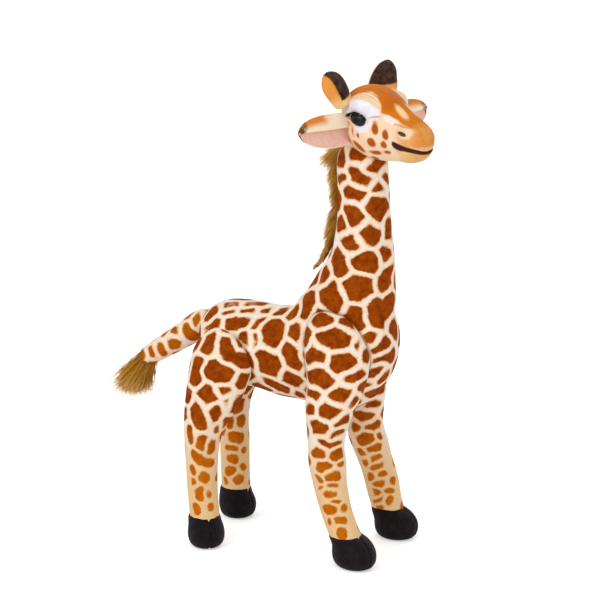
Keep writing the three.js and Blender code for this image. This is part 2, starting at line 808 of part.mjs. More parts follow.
const eyeAlongShare = 0.333;
const eyeAngle = THREE.MathUtils.degToRad(10);
const lashFrom = THREE.MathUtils.degToRad(45);
const lashTo = THREE.MathUtils.degToRad(195);

// Where an eye sits on the skin and which way it looks.
function eyeFrame(side) {
  return {
    seat: headSkinAt(eyeAlongShare, eyeAngle, side),
    out: headSkinOut(eyeAlongShare, eyeAngle, side),
  };
}

// The stem behind an eye, from the middle of the dome inwards.
function eyeStem(side, growth) {
  const { seat, out } = eyeFrame(side);
  const start = seat.clone().addScaledVector(out, eyeRise / 2);
  const length = eyeStemLength + eyeRise / 2 + growth;
  return barForm(start, out.clone().negate(), eyeStemRadius + growth, length, legSides);
}

// The washer that locks the stem inside the cover.
function washerDisc(side, growth) {
  const { seat, out } = eyeFrame(side);
  const depth = coverThickness * 2 + seam;
  const start = seat.clone().addScaledVector(out, -depth + growth);
  const length = washerThickness + growth * 2;
  return barForm(start, out.clone().negate(), washerRadius + growth, length, legSides);
}

// The black dome outside the cover.
function eyeDome(side) {
  const { seat, out } = eyeFrame(side);
  const geometry = new THREE.SphereGeometry(eyeRadius, legSides, smallSides);
  geometry.scale(1, eyeRise / eyeRadius, 1);
  geometry.applyQuaternion(new THREE.Quaternion().setFromUnitVectors(new THREE.Vector3(0, 1, 0), out));
  geometry.translate(seat.x, seat.y, seat.z);
  return solidOf(geometry).subtract(headForm(-seam));
}

// The lash strip: an arc round the upper back edge of the eye.
function lashStrip(side) {
  const { seat, out } = eyeFrame(side);
  const inner = eyeRadius + seam;
  const outer = inner + lashReach;
  const arc = new THREE.Shape();
  arc.absarc(0, 0, outer, lashFrom, lashTo);
  arc.absarc(0, 0, inner, lashTo, lashFrom, true);
  const options = { depth: lashThickness, curveSegments: smallSides / 2, bevelEnabled: false };
  const geometry = new THREE.ExtrudeGeometry(arc, options);
  const forward = new THREE.Vector3(1, 0, 0).projectOnPlane(out).normalize();
  const upward = new THREE.Vector3(0, 0, 1).projectOnPlane(out);
  upward.addScaledVector(forward, -upward.dot(forward)).normalize();
  const outward = new THREE.Vector3().crossVectors(forward, upward);
  geometry.applyMatrix4(new THREE.Matrix4().makeBasis(forward, upward, outward));
  const lift = side < 0 ? seam : seam + lashThickness;
  const start = seat.clone().addScaledVector(out, lift);
  geometry.translate(start.x, start.y, start.z);
  return solidOf(geometry).subtract(headForm(-seam));
}

// Nostrils: stitched bars sunk a little in the skin of the muzzle.
const nostrilAlongShare = 0.825;
const nostrilAngle = THREE.MathUtils.degToRad(26);
const nostrilSlant = THREE.MathUtils.degToRad(35);

function nostrilBar(side, growth) {
  const seat = headSkinAt(nostrilAlongShare, nostrilAngle, side);
  const out = headSkinOut(nostrilAlongShare, nostrilAngle, side);
  const geometry = new THREE.SphereGeometry(1, smallSides, smallSides / 2);
  geometry.scale(nostrilLength / 2 + growth, nostrilWidth / 2 + growth, nostrilDepth + growth);
  const forward = new THREE.Vector3(Math.cos(nostrilSlant), 0, -Math.sin(nostrilSlant));
  forward.projectOnPlane(out).normalize();
  const upward = new THREE.Vector3().crossVectors(out, forward);
  geometry.applyMatrix4(new THREE.Matrix4().makeBasis(forward, upward, out));
  geometry.translate(seat.x, seat.y, seat.z);
  return solidOf(geometry);
}

// Horns: two panels sewn face to face, leaning back and outwards from the crown.
const hornAlongShare = 0.15;
const hornAngle = THREE.MathUtils.degToRad(34);
const hornLeanBack = THREE.MathUtils.degToRad(11);
const hornLeanOut = THREE.MathUtils.degToRad(34);
const hornTurnIn = THREE.MathUtils.degToRad(12);
const hornSinkShare = 0.2;
// Share of the horn's height, and of its half width and half thickness.
const hornShares = [
  [0, 0.72, 0.8],
  [0.3, 0.84, 1],
  [0.6, 1, 1],
  [0.82, 0.86, 0.85],
  [0.94, 0.5, 0.55],
  [1, 0, 0],
];

// Which way a horn rises, where its front panel faces, and the way across.
function hornAxes(side) {
  const up = new THREE.Vector3(-Math.sin(hornLeanBack), side * Math.sin(hornLeanOut), 1).normalize();
  const face = new THREE.Vector3(Math.cos(hornTurnIn), -side * Math.sin(hornTurnIn), 0);
  face.projectOnPlane(up).normalize();
  return { up, face, across: new THREE.Vector3().crossVectors(up, face) };
}

// A whole horn, cut to the crown that it is sewn to.
function hornForm(side) {
  const { up, face, across } = hornAxes(side);
  const foot = headSkinAt(hornAlongShare, hornAngle, side).addScaledVector(up, -hornHeight * hornSinkShare);
  const length = hornHeight * (1 + hornSinkShare);
  const sections = hornShares.map(([along, wide, thick]) => ({
    centre: foot.clone().addScaledVector(up, length * along),
    halfAcross: across.clone().multiplyScalar((hornWidth / 2) * wide),
    halfUp: face.clone().multiplyScalar((hornThickness / 2) * thick),
  }));
  return ovalForm(sections, legSides).subtract(headForm(-seam));
}

// The half space in front of or behind a horn's seam.
function hornHalf(side, isFront) {
  const { up, face, across } = hornAxes(side);
  const foot = headSkinAt(hornAlongShare, hornAngle, side);
  const reach = hornHeight * 2;
  const geometry = new THREE.BoxGeometry(reach * 2, reach * 2, reach * 2);
  const shift = reach + seam / 2;
  geometry.translate(0, 0, isFront ? shift : -shift);
  geometry.applyMatrix4(new THREE.Matrix4().makeBasis(across, up, face));
  geometry.translate(foot.x, foot.y, foot.z);
  return solidOf(geometry);
}

// Ears: a cupped leaf of two cloths, sewn to a rolled root that lies upright on the
// widest line of the head.
const earAlongShare = 0.17;
const earDropShare = 0.08;
const earOpenDrop = THREE.MathUtils.degToRad(30);
const earLiningShare = 0.86;
const earRootShare = 0.5;
const ears = [
  { name: 'right', side: -1, lift: rightEarLift },
  { name: 'left', side: 1, lift: leftEarLift },
];

// Half of the leaf's outline, as shares of its length and half width.
const earShares = [
  [0.02, 0.5],
  [0.12, 0.72],
  [0.35, 1],
  [0.6, 0.96],
  [0.82, 0.62],
  [0.95, 0.25],
];

// An ear's root, the line along which the root lies, and the leaf's own frame there:
// +X outwards along the leaf, +Y across it, and +Z towards the open side of the cup.
function earFrame(ear) {
  const root = headSkinAt(earAlongShare, 0, ear.side);
  root.y += ear.side * (earRootRadius + seam * 2);
  root.z -= headHeight * earDropShare;
  const open = new THREE.Vector3(Math.cos(earOpenDrop), 0, -Math.sin(earOpenDrop));
  const rootLine = new THREE.Vector3(Math.sin(earOpenDrop), 0, Math.cos(earOpenDrop));
  const out = new THREE.Vector3(0, ear.side * Math.cos(ear.lift), 0);
  out.addScaledVector(rootLine, Math.sin(ear.lift));
  const across = new THREE.Vector3().crossVectors(open, out);
  return { root, rootLine, matrix: new THREE.Matrix4().makeBasis(out, across, open).setPosition(root) };
}

// The leaf's outline as a block, at one scale across.
function earLeaf(scale) {
  const outline = new THREE.Shape();
  const points = earShares.map(([along, wide]) => new THREE.Vector2(
    earLength * along,
    (earWidth / 2) * wide * scale,
  ));
  const tip = new THREE.Vector2(earLength * (1 + scale) / 2, 0);
  const other = points.map((point) => new THREE.Vector2(point.x, -point.y)).reverse();
  outline.setFromPoints([...points, tip, ...other]);
  const geometry = new THREE.ExtrudeGeometry(outline, { depth: earCupRadius * 2, bevelEnabled: false });
  geometry.translate(0, 0, -earCupRadius);
  return solidOf(geometry);
}

// A cupped layer of cloth between two distances from the cup's middle.
function cupLayer(outerRadius, innerRadius) {
  const layers = [outerRadius, innerRadius].map((radius) => {
    const geometry = new THREE.CylinderGeometry(radius, radius, earLength * 3, torsoSides);
    geometry.rotateZ(Math.PI / 2);
    geometry.translate(0, 0, earCupRadius);
    return solidOf(geometry);
  });
  return layers[0].subtract(layers[1]);
}

// A solid moved into a frame.
function placed(solid, matrix) {
  const { vertProperties, triVerts } = solid.getMesh();
  const geometry = new THREE.BufferGeometry();
  geometry.setAttribute('position', new THREE.BufferAttribute(vertProperties, 3));
  geometry.setIndex(new THREE.BufferAttribute(triVerts, 1));
  geometry.applyMatrix4(matrix);
  return positionedSolid([...geometry.attributes.position.array], [...triVerts]);
}

// The outer with its root, and the lining in its cup.
function earPieces(ear) {
  const { root, rootLine, matrix } = earFrame(ear);
  const outerRadius = earCupRadius + earClothThickness / 2;
  const between = outerRadius - earClothThickness;
  const liningOuter = between - seam;
  const leaf = earLeaf(1).intersect(cupLayer(outerRadius, between));
  const lining = earLeaf(earLiningShare).intersect(cupLayer(liningOuter, liningOuter - earClothThickness));
  const rootLength = earWidth * earRootShare;
  const rootFoot = root.clone().addScaledVector(rootLine, -rootLength / 2);
  const rootRoll = barForm(rootFoot, rootLine, earRootRadius, rootLength, smallSides);
  const offRoot = boxForm(
    new THREE.Vector3(-earLength, -earWidth, -earWidth),
    new THREE.Vector3(earRootRadius * 2, earWidth, earCupRadius),
  );
  return [
    pieceOf(`ear_${ear.name}_outer`, placed(leaf, matrix).add(rootRoll), earPlush()),
    pieceOf(`ear_${ear.name}_lining`, placed(lining.subtract(offRoot), matrix), earLining()),
  ];
}

// Everything that turns with the head.
function headPieces() {
  const neckRoom = ballRoom(new THREE.Vector3(), upright, neckTopRadius, neckTopRadius, neckSides);
  let cover = headForm(0).subtract(headForm(coverThickness)).subtract(neckRoom).subtract(mouthWedge(seam));
  let filling = headForm(coverThickness + seam).subtract(neckRoom);
  const pieces = [];
  for (const [side, name] of [[-1, 'right'], [1, 'left']]) {
    const stem = eyeStem(side, 0);
    const stemRoom = eyeStem(side, seam);
    cover = cover.subtract(stemRoom).subtract(nostrilBar(side, seam));
    filling = filling.subtract(stemRoom).subtract(washerDisc(side, seam)).subtract(nostrilBar(side, seam));
    pieces.push(pieceOf(`eye_${name}`, eyeDome(side).add(stem), eyePlastic()));
    pieces.push(pieceOf(`eye_washer_${name}`, washerDisc(side, 0).subtract(stemRoom), washerPlastic()));
    pieces.push(pieceOf(`eyelash_${name}`, lashStrip(side), lashFelt()));
    pieces.push(pieceOf(`nostril_${name}`, nostrilBar(side, 0), darkThread()));
    const horn = hornForm(side);
    pieces.push(pieceOf(`horn_${name}_front`, horn.intersect(hornHalf(side, true)), hornBrown()));
    pieces.push(pieceOf(`horn_${name}_back`, horn.intersect(hornHalf(side, false)), hornOrange()));
  }
  for (const ear of ears) pieces.push(...earPieces(ear));
  const lining = headForm(coverThickness - mouthLiningDepth).subtract(headForm(coverThickness));
  pieces.push(pieceOf('head_cover', cover, facePlush()));
  pieces.push(pieceOf('head_filling', filling, fibreFilling()));
  pieces.push(pieceOf('mouth_lining', lining.intersect(mouthWedge(0)), mouthFelt()));
  return pieces;
}

// The whole giraffe, with its origin on the ground under the middle of its box

const head = new THREE.Group();
head.position.copy(headPivot);
head.rotation.z = headTurn;
head.add(...headPieces());

const giraffe = new THREE.Group();
giraffe.add(...torsoPieces(), ...neckPieces(), head, ...tailPieces());
for (const leg of legs) giraffe.add(...legPieces(leg));

giraffe.updateMatrixWorld(true);
const box = new THREE.Box3().setFromObject(giraffe, true);
const middle = box.getCenter(new THREE.Vector3());
giraffe.position.set(-middle.x, -middle.y, -box.min.z);
giraffe.updateMatrixWorld(true);

export default giraffe;
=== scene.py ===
import json

import bpy
import numpy as np
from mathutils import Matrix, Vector


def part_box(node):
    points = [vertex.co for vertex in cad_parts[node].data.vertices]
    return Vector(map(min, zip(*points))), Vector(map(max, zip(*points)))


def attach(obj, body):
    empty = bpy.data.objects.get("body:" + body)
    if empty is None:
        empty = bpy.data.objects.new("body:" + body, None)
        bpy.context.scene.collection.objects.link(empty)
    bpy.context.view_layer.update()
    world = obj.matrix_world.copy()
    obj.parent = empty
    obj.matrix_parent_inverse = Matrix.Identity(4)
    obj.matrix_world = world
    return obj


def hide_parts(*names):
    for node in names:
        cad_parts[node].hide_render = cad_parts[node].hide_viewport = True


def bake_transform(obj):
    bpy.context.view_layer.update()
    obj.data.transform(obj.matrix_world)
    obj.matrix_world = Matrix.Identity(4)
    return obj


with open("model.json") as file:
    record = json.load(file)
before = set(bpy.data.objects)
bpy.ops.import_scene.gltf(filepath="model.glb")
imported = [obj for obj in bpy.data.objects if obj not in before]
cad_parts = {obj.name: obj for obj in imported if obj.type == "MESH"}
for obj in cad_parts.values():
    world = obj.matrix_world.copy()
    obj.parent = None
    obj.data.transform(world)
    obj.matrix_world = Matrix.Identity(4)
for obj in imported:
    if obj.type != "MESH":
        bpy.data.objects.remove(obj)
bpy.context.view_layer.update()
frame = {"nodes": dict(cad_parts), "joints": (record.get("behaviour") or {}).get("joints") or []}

# Camera: a long lens 2.5 m off the giraffe's right side and a little ahead of it, looking down
# from 0.93 m. It also tells where points land in the photograph's 600 by 600 frame.
MM = 0.001
AHEAD, LEFT, UP = np.eye(3)
LEGS = ["leg_front_right", "leg_front_left", "leg_rear_right", "leg_rear_left"]
HOOVES = {leg: leg.replace("leg", "hoof") for leg in LEGS}
hoof_boxes = {leg: np.array([list(corner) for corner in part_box(hoof)]) for leg, hoof in HOOVES.items()}
stance = np.array(list(hoof_boxes.values())).mean(axis=(0, 1)) * (1, 1, 0)
CAMERA_DISTANCE = 2500 * MM
CAMERA_SIDE_TURN = np.radians(22.3)
CAMERA_HEIGHT = 930 * MM
AIM_FROM_STANCE = (22.5, -49.2, 270)
LENS = 157.6
PHOTO_SIZE = 600

aim = stance + np.array(AIM_FROM_STANCE) * MM
camera_way = np.array((np.sin(CAMERA_SIDE_TURN), -np.cos(CAMERA_SIDE_TURN), 0))
camera_place = aim + CAMERA_DISTANCE * camera_way
camera_place[2] = CAMERA_HEIGHT
camera_data = bpy.data.cameras.new("camera")
camera_data.lens = LENS
camera = bpy.data.objects.new("camera", camera_data)
camera.location = camera_place
camera.rotation_euler = Vector(aim - camera_place).to_track_quat("-Z", "Y").to_euler()
bpy.context.scene.collection.objects.link(camera)
bpy.context.scene.camera = camera
camera_turn = np.array(camera.rotation_euler.to_matrix())


def pixels_of(points):
    """Where points land in the photograph's frame, and how far away they are: the points in
    the camera's own axes, scaled by the lens over their depth."""
    seen = (points - camera_place) @ camera_turn
    scale = LENS / camera_data.sensor_width * PHOTO_SIZE / -seen[:, 2]
    across = PHOTO_SIZE / 2 + seen[:, 0] * scale
    down = PHOTO_SIZE / 2 - seen[:, 1] * scale
    return np.stack([across, down], axis=1), -seen[:, 2]


# Torso and neck skin: short-pile plush sewn from printed panels and stuffed with fibre.
# The torso and neck are lofted from oval sections, fused by a remesh, and blown up by the
# pressure of their filling.
joint = {entry["name"]: np.array(entry["pos_m"]) / MM for entry in frame["joints"]}
hip = joint["leg_rear_right_swing"] * (1, 0, 1)
neck_foot = joint["neck_lean"]
MIDLINE = neck_foot[1]
# Millimetres ahead of the hip joint, height of the middle, half height and half width.
TORSO_ROWS = [
    (-40, 212, 1, 1),
    (-37, 212, 14, 14),
    (-29, 210, 28, 28),
    (-15, 207, 39.5, 37),
    (6, 204.5, 44.7, 41),
    (28, 204, 45.5, 40),
    (52, 201.3, 48.2, 39.5),
    (77, 204, 52.3, 40),
    (101, 204.6, 57.2, 41),
    (122, 205.8, 59.2, 41),
    (145, 211, 54, 38),
    (160, 217, 43.5, 31),
    (172, 225, 29, 21),
    (176, 227, 1, 1),
]
# Millimetres above the neck's foot, ahead of it, and half depth and half width.
NECK_ROWS = [
    (-52, 0, 1, 1),
    (-46, 0, 22, 18),
    (-32, -8, 38, 26),
    (-20, -9.8, 53.2, 28),
    (-10, -7, 54.5, 30),
    (0, -2.3, 51.3, 31),
    (10, 0.8, 47.2, 30),
    (20, 3.2, 43.9, 28.8),
    (28, 5.9, 41.3, 28.2),
    (36, 8.6, 38.1, 27.5),
    (52, 11.3, 33.9, 26.8),
    (68, 12.5, 30.6, 26.3),
    (84, 13, 28.6, 25.8),
    (100, 13.1, 27.4, 25.4),
    (119, 12.6, 26.7, 25),
    (138, 12, 26.2, 24.5),
    (150, 11.4, 22, 22),
    (158, 10.7, 12, 12),
    (160, 10.7, 1, 1),
]
SKIN_VOXEL = 4
SKIN_SIDES = 48
SKIN_RINGS = 60
BODY_SMOOTHING = 10
STUFFING_PRESSURE = 4.0
CLOTH_MASS = 0.3
SWELL_FRAMES = 20
BODY_SWELL_CAP = 3


def smooth_rows(rows, count):
    """Even steps along a smooth curve through the given rows: a Catmull-Rom cubic, whose
    slope at each row is half the difference between its two neighbours."""
    rows = np.asarray(rows, float)
    last = len(rows) - 1
    place = np.linspace(0, last, count)
    start = np.clip(place.astype(int), 0, last - 1)
    step = (place - start)[:, None]
    before, here = rows[np.clip(start - 1, 0, last)], rows[start]
    after, beyond = rows[start + 1], rows[np.clip(start + 2, 0, last)]
    slope_here, slope_after = (after - before) / 2, (beyond - here) / 2
    return (
        (2 * step**3 - 3 * step**2 + 1) * here
        + (step**3 - 2 * step**2 + step) * slope_here
        + (3 * step**2 - 2 * step**3) * after
        + (step**3 - step**2) * slope_after
    )


def oval_grid(centres, across, up, sides):
    """Rings of points: each centre plus across times the cosine and up times the sine of an
    angle that goes once round the ring."""
    angle = np.linspace(0, 2 * np.pi, sides, endpoint=False)
    ring = np.cos(angle)[None, :, None] * across[:, None, :]
    return centres[:, None, :] + ring + np.sin(angle)[None, :, None] * up[:, None, :]


def skin_grid(ahead, left, height, first_way, first_half, second_way, second_half):
    """Rings of a skin round a line of centres, with two half sizes of 1 mm at least."""
    centres = np.stack(np.broadcast_arrays(ahead, left, height), axis=1)
    first = first_way * np.maximum(first_half, 1)[:, None]
    return oval_grid(centres, first, second_way * np.maximum(second_half, 1)[:, None], SKIN_SIDES)


def quads_between(rings, sides, closed=True):
    """Quads between neighbouring rings of a grid, all the way round where it is closed."""
    ring, side = np.meshgrid(np.arange(rings - 1), np.arange(sides if closed else sides - 1), indexing="ij")
    low, low_next = ring * sides + side, ring * sides + (side + 1) % sides
    return np.stack([low, low_next, low_next + sides, low + sides], axis=-1).reshape(-1, 4)


def closed_faces(rings, sides, first=0):
    """Quads between neighbouring rings of a closed grid, and a face over each end ring."""
    quads = quads_between(rings, sides) + first
    ends = [np.arange(sides)[::-1] + first, np.arange(sides) + (rings - 1) * sides + first]
    return quads.tolist() + [end.tolist() for end in ends]


def mesh_piece(name, points, faces):
    """An object whose mesh holds the points, given in millimetres, and the faces."""
    mesh = bpy.data.meshes.new(name)
    mesh.from_pydata((np.asarray(points).reshape(-1, 3) * MM).tolist(), [], faces)
    mesh.update()
    piece = bpy.data.objects.new(name, mesh)
    bpy.context.scene.collection.objects.link(piece)
    return piece


def read_vectors(count, collection, field):
    """One vector of each entry of a mesh's collection, as an array."""
    flat = np.empty(count * 3, np.float32)
    collection.foreach_get(field, flat)
    return flat.reshape(-1, 3).astype(float)


def corners_of(piece):
    """The piece's corners as an array, in metres."""
    return read_vectors(len(piece.data.vertices), piece.data.vertices, "co")


def normals_of(piece):
    """The way that the skin faces at each corner."""
    return read_vectors(len(piece.data.vertices), piece.data.vertex_normals, "vector")


def move_corners(piece, points):
    """Puts the piece's corners at the points, given in metres."""
    piece.data.vertices.foreach_set("co", points.astype(np.float32).ravel())
    piece.data.update()


def settled(piece):
    """Replaces a piece's mesh by what its modifiers make of it."""
    seen = piece.evaluated_get(bpy.context.evaluated_depsgraph_get())
    mesh = bpy.data.meshes.new_from_object(seen)
    piece.modifiers.clear()
    piece.data = mesh
    mesh.name = piece.name
    return piece


def fused(name, grids, voxel, smoothing):
    """One closed skin round several closed grids of rings: their union in voxels of that
    size, smoothed a number of times."""
    points = np.empty((0, 3))
    faces = []
    for grid in grids:
        faces += closed_faces(*grid.shape[:2], len(points))
        points = np.concatenate([points, grid.reshape(-1, 3)])
    piece = mesh_piece(name, points, faces)
    remesh = piece.modifiers.new("remesh", "REMESH")
    remesh.mode = "VOXEL"
    remesh.voxel_size = voxel * MM
    smooth = piece.modifiers.new("smooth", "SMOOTH")
    smooth.factor = 0.5
    smooth.iterations = smoothing
    return settled(piece)


def stuffed(piece, cap, levels=1):
    """Blows the skin up with Cloth and an inner pressure, without gravity, for a fixed number
    of frames, lets no point move further than the cap, and subdivides the result."""
    start = corners_of(piece)
    cloth = piece.modifiers.new("stuffing", "CLOTH")
    cloth.settings.use_pressure = True
    cloth.settings.uniform_pressure_force = STUFFING_PRESSURE
    cloth.settings.effector_weights.gravity = 0
    cloth.settings.mass = CLOTH_MASS
    cloth.collision_settings.use_collision = False
    cloth.point_cache.frame_start = 1
    cloth.point_cache.frame_end = SWELL_FRAMES
    for step in range(1, SWELL_FRAMES + 1):
        bpy.context.scene.frame_set(step)
    settled(piece)
    bpy.context.scene.frame_set(1)
    moved = corners_of(piece) - start
    length = np.linalg.norm(moved, axis=1, keepdims=True)
    moved *= np.minimum(1, cap * MM / np.maximum(length, 1e-9))
    move_corners(piece, start + moved)
    fine = piece.modifiers.new("fine", "SUBSURF")
    fine.levels = fine.render_levels = levels
    settled(piece)
    piece.data.shade_smooth()
    return piece


# Upright ovals from the rump to the chest, and level ones from inside the chest to the head.
ahead, height, half_up, half_side = smooth_rows(TORSO_ROWS, SKIN_RINGS).T
torso_grid = skin_grid(hip[0] + ahead, MIDLINE, height, LEFT, half_side, UP, half_up)
rise, ahead, half_deep, half_side = smooth_rows(NECK_ROWS, SKIN_RINGS).T
neck_grid = skin_grid(neck_foot[0] + ahead, MIDLINE, neck_foot[2] + rise, AHEAD, half_deep, LEFT, half_side)
body_skin = fused("body_skin", [torso_grid, neck_grid], SKIN_VOXEL, BODY_SMOOTHING)
body_skin = stuffed(body_skin, BODY_SWELL_CAP)

# Pixels of the photograph, read off it: each printed patch is one or more strokes, from a
# place to a place, with half its thickness, in five numbers each. Every skin takes the strokes
# that land on it.
NECK_STROKES = [
    (338.5, 153, 339.5, 165, 3.5), (350, 152, 360, 159, 4), (372, 167.5, 384, 166, 4.5),
    (352.5, 173.5, 366, 180, 6.5), (387, 173, 388, 179, 2), (338.5, 177, 341.5, 178.5, 2.5),
    (377, 190.5, 381.5, 188.5, 3), (349.5, 194, 360, 197, 6.3), (376.5, 206.5, 382, 213.5, 8.3),
    (350, 212, 354.5, 219, 6.3), (338.5, 225, 341, 228.5, 3), (369.5, 236.5, 374.5, 235.5, 8.3),
    (390, 223, 390, 239, 2), (346, 243, 352, 247.5, 5.2), (386.5, 252, 388.5, 257.5, 4.2),
    (361, 263, 371, 265.5, 9.7), (336.5, 261, 338.5, 268, 6.3), (390, 274, 385.5, 286.5, 6),
    (321, 281, 321.5, 276, 3), (327, 295.5, 331, 301, 9.8), (351.5, 288.5, 361.5, 291.5, 9.8),
    (379, 306, 379.5, 320, 7, 391, 300, 390, 314, 4.8), (307, 298, 303.5, 311, 4.8),
    (354, 317, 357, 325, 6, 344, 319, 348, 321, 2.5), (370.5, 338.5, 373, 341.5, 5.5),
    (394.5, 326.5, 397.5, 332.5, 3), (375, 353, 388, 345, 4.8), (377, 363.5, 394.5, 354.5, 2.6),
    (367.5, 350, 367.5, 361, 2.2),
]
SHOULDER_STROKES = [
    (316, 318.5, 323, 319, 5), (303.5, 331, 302.5, 340, 4.2), (292.5, 330.5, 295, 335, 5.6),
    (324, 337, 340, 339.5, 8.3), (358, 343.5, 358, 347.5, 2), (310, 355, 316, 355.5, 6.8),
    (336, 365.5, 350, 360.5, 8.3), (314, 378, 322, 382.5, 8), (349, 381, 360, 377, 4.6),
    (308, 394, 313, 398, 4.8), (334, 397, 344, 397, 7), (323, 412.5, 332, 414, 7.5),
    (307, 405, 309, 415, 2.6), (371, 378, 379, 374.5, 4.8), (387, 376, 383, 381, 2.4),
    (364, 389, 367.5, 387.5, 2.8), (369, 397, 382, 393, 2.8), (369, 407, 377, 404, 3.8),
    (353.5, 404.5, 356.5, 401.5, 2), (358, 415.5, 370, 417.5, 5),
]
TORSO_STROKES = [
    (207, 315, 212, 309.5, 2.2), (223, 311, 230.5, 308.3, 2.3), (225, 304.3, 234, 302.8, 1.3),
    (228, 320.5, 243, 318.5, 5, 229, 323, 231, 325, 3.5), (243.5, 308, 253, 306.5, 2.8),
    (247, 302.5, 263, 302, 1.5), (253.5, 324.5, 263, 315.5, 2.6), (263, 308.3, 267.5, 307.3, 1.9),
    (275, 310.5, 285, 308, 2), (291.5, 308.5, 288, 315, 2.6), (270.5, 326, 269.5, 337.5, 9),
    (206, 329, 214.5, 320.5, 4), (208, 338, 203.5, 348, 5), (251, 336, 251, 343, 3),
    (224, 340, 227, 352, 5, 228, 354, 240, 357, 5.5, 241, 355, 246, 363, 4.5),
    (242.5, 335, 244, 343, 3.5), (262, 358, 269, 367, 8.5), (286.5, 352.5, 291.5, 364, 6.2),
    (195.5, 361, 193, 381, 4), (212, 367, 221, 373, 9), (245, 378, 240.5, 386, 3.2),
    (246, 392.5, 255.5, 386, 3), (286, 378.5, 295, 383.5, 4.6), (270, 385, 285, 393, 3.4),
    (296.5, 397, 301, 397, 1.8), (202, 393, 208.5, 400, 6.5), (223, 393, 227.5, 393, 4.6),
]
FRONT_LEG_STROKES = [
    (313, 427.5, 321, 430.5, 5.3), (338, 426.5, 346.5, 420.5, 2.7), (335.5, 437.5, 341, 436, 2.3),
    (322.5, 446.5, 331, 449.5, 3, 331, 449.5, 339.5, 446, 3), (313, 454.5, 319, 456.5, 4),
    (336.5, 457.5, 342.5, 455, 4), (317.5, 468, 328.5, 468.5, 4.3), (343, 467, 345, 466, 1.6),
    (331, 479.5, 340.5, 477, 3.2), (315.5, 480.5, 316.5, 482, 2), (331.5, 488.5, 338.5, 487.5, 2),
    (318, 488.5, 318.5, 491, 1.5), (325, 496.5, 336.5, 495.3, 2.3), (335.5, 503.5, 341.5, 502.3, 1.9),
    (325, 512, 333.5, 512.3, 3), (346.5, 509.5, 348.5, 509.5, 1.9), (340, 522, 346, 521.5, 3.5),
    (327, 522, 328, 525, 2), (340.5, 534, 341, 537, 3.3), (352, 426.5, 354, 429.5, 3.8),
    (372.5, 428, 379.5, 426.5, 3.5), (359, 440.5, 367, 440.5, 4.6), (382, 434, 383, 438, 1.7),
    (373, 451.5, 380.5, 448.5, 3.1), (358, 452, 359.5, 454, 2.2), (374.5, 460.8, 381.5, 458.5, 2.5),
    (362.5, 462.5, 364, 465, 2), (373, 470, 382, 466.5, 2.3), (383.5, 476.3, 386.5, 474.3, 2.5),
    (367, 477, 368, 479, 1.8), (373.5, 484.5, 379.5, 485.5, 2.6), (395.5, 480, 396, 482, 1.8),
    (372.5, 491.5, 374, 495, 2.3), (390.5, 492.3, 394, 490.8, 2.6), (375, 502.5, 379.5, 501.5, 2),
    (389, 504, 392.5, 501, 2.3), (374.5, 508, 379, 508, 1.4),
]
REAR_LEG_STROKES = [
    (193.5, 410.5, 200, 424.5, 6), (216, 412.5, 216, 419.5, 4.3), (187, 431, 187.5, 442, 2.3),
    (202.5, 443, 203.5, 448, 4.3), (213.5, 446.5, 213.5, 452.5, 4),
    (193.5, 457, 203, 463.5, 3.7, 203, 463.5, 213.5, 465, 3.3), (190, 470.5, 191, 473, 2),
    (204.5, 478.5, 208.5, 479.5, 3.5), (190.5, 481.5, 191, 485, 2), (201, 494.5, 202, 498, 4.6),
    (210, 494, 211, 496.5, 2.6), (193, 508.5, 193.5, 511.5, 2.9), (214, 506.5, 214.5, 509.5, 2),
    (230, 402, 227.5, 407, 3.3), (238, 404.5, 239, 408.5, 6.2), (228, 422.5, 227, 427, 3),
    (243.5, 420, 243.5, 425, 3.6), (220.5, 429, 219, 433, 1.6), (233, 438, 243, 438.5, 3.8),
    (226, 450, 232.5, 450.3, 3), (247.5, 450, 247.5, 453, 2), (230.5, 460.5, 235.5, 462.5, 3.6),
    (224.5, 472, 231, 472.3, 2.6), (245, 467.5, 247.5, 469.5, 2), (239.5, 482.5, 242, 480.5, 3.3),
    (221.5, 481, 222.5, 484, 1.6),
]
TAIL_STROKES = [
    (194, 318, 195.5, 321.5, 4.2), (185, 331, 192, 338.5, 4.6), (170, 330.5, 173, 332, 2),
    (170, 342, 173, 346.5, 4), (158, 350, 161.5, 354.5, 3.2), (148, 353, 149.5, 356, 2),
]
PATCH_STROKES = (
    NECK_STROKES + SHOULDER_STROKES + TORSO_STROKES + FRONT_LEG_STROKES + REAR_LEG_STROKES + TAIL_STROKES
)
# Millimetres a pixel, and how near a pixel a surface point must land to count as seen there.
PIXEL = 1.08
PIXEL_REACH = 3.5
STROKE_LIMIT = 40 * MM
# A skin counts as unseen where the cosine of its turn from the camera is below this.
TURNED_AWAY = 0.3
PATCH_SPACING = 22
PATCH_HALF_STROKE = 2
PATCH_REACH = 6
PATCH_GAP = 5.6
PATCH_LIMIT = 7.5
PATCH_WARP = 1.0
WARP_LENGTH = 18
WARP_SEED = 4


def seen_points(pixels, points):
    """For each pixel, the surface point nearest the camera among those that land near it, and
    whether there is one."""
    places, depth = pixels_of(points)
    away = np.linalg.norm(np.asarray(pixels, float)[:, None, :] - places[None], axis=2)
    depth = np.where(away < PIXEL_REACH, depth[None], np.inf)
    return points[depth.argmin(axis=1)], np.isfinite(depth.min(axis=1))


def warped(points, amount, length, seed):
    """Points moved by a sum of six sine waves of seeded directions and phases, so that a
    pattern of straight edges bends like a printed one."""
    random = np.random.default_rng(seed)
    wave = random.normal(size=(6, 3))
    wave *= 2 * np.pi / length / np.linalg.norm(wave, axis=1, keepdims=True)
    phase = random.uniform(0, 2 * np.pi, 6)
    push = random.normal(size=(6, 3)) * amount / 6**0.5
    return points + np.sin(points @ wave.T + phase) @ push


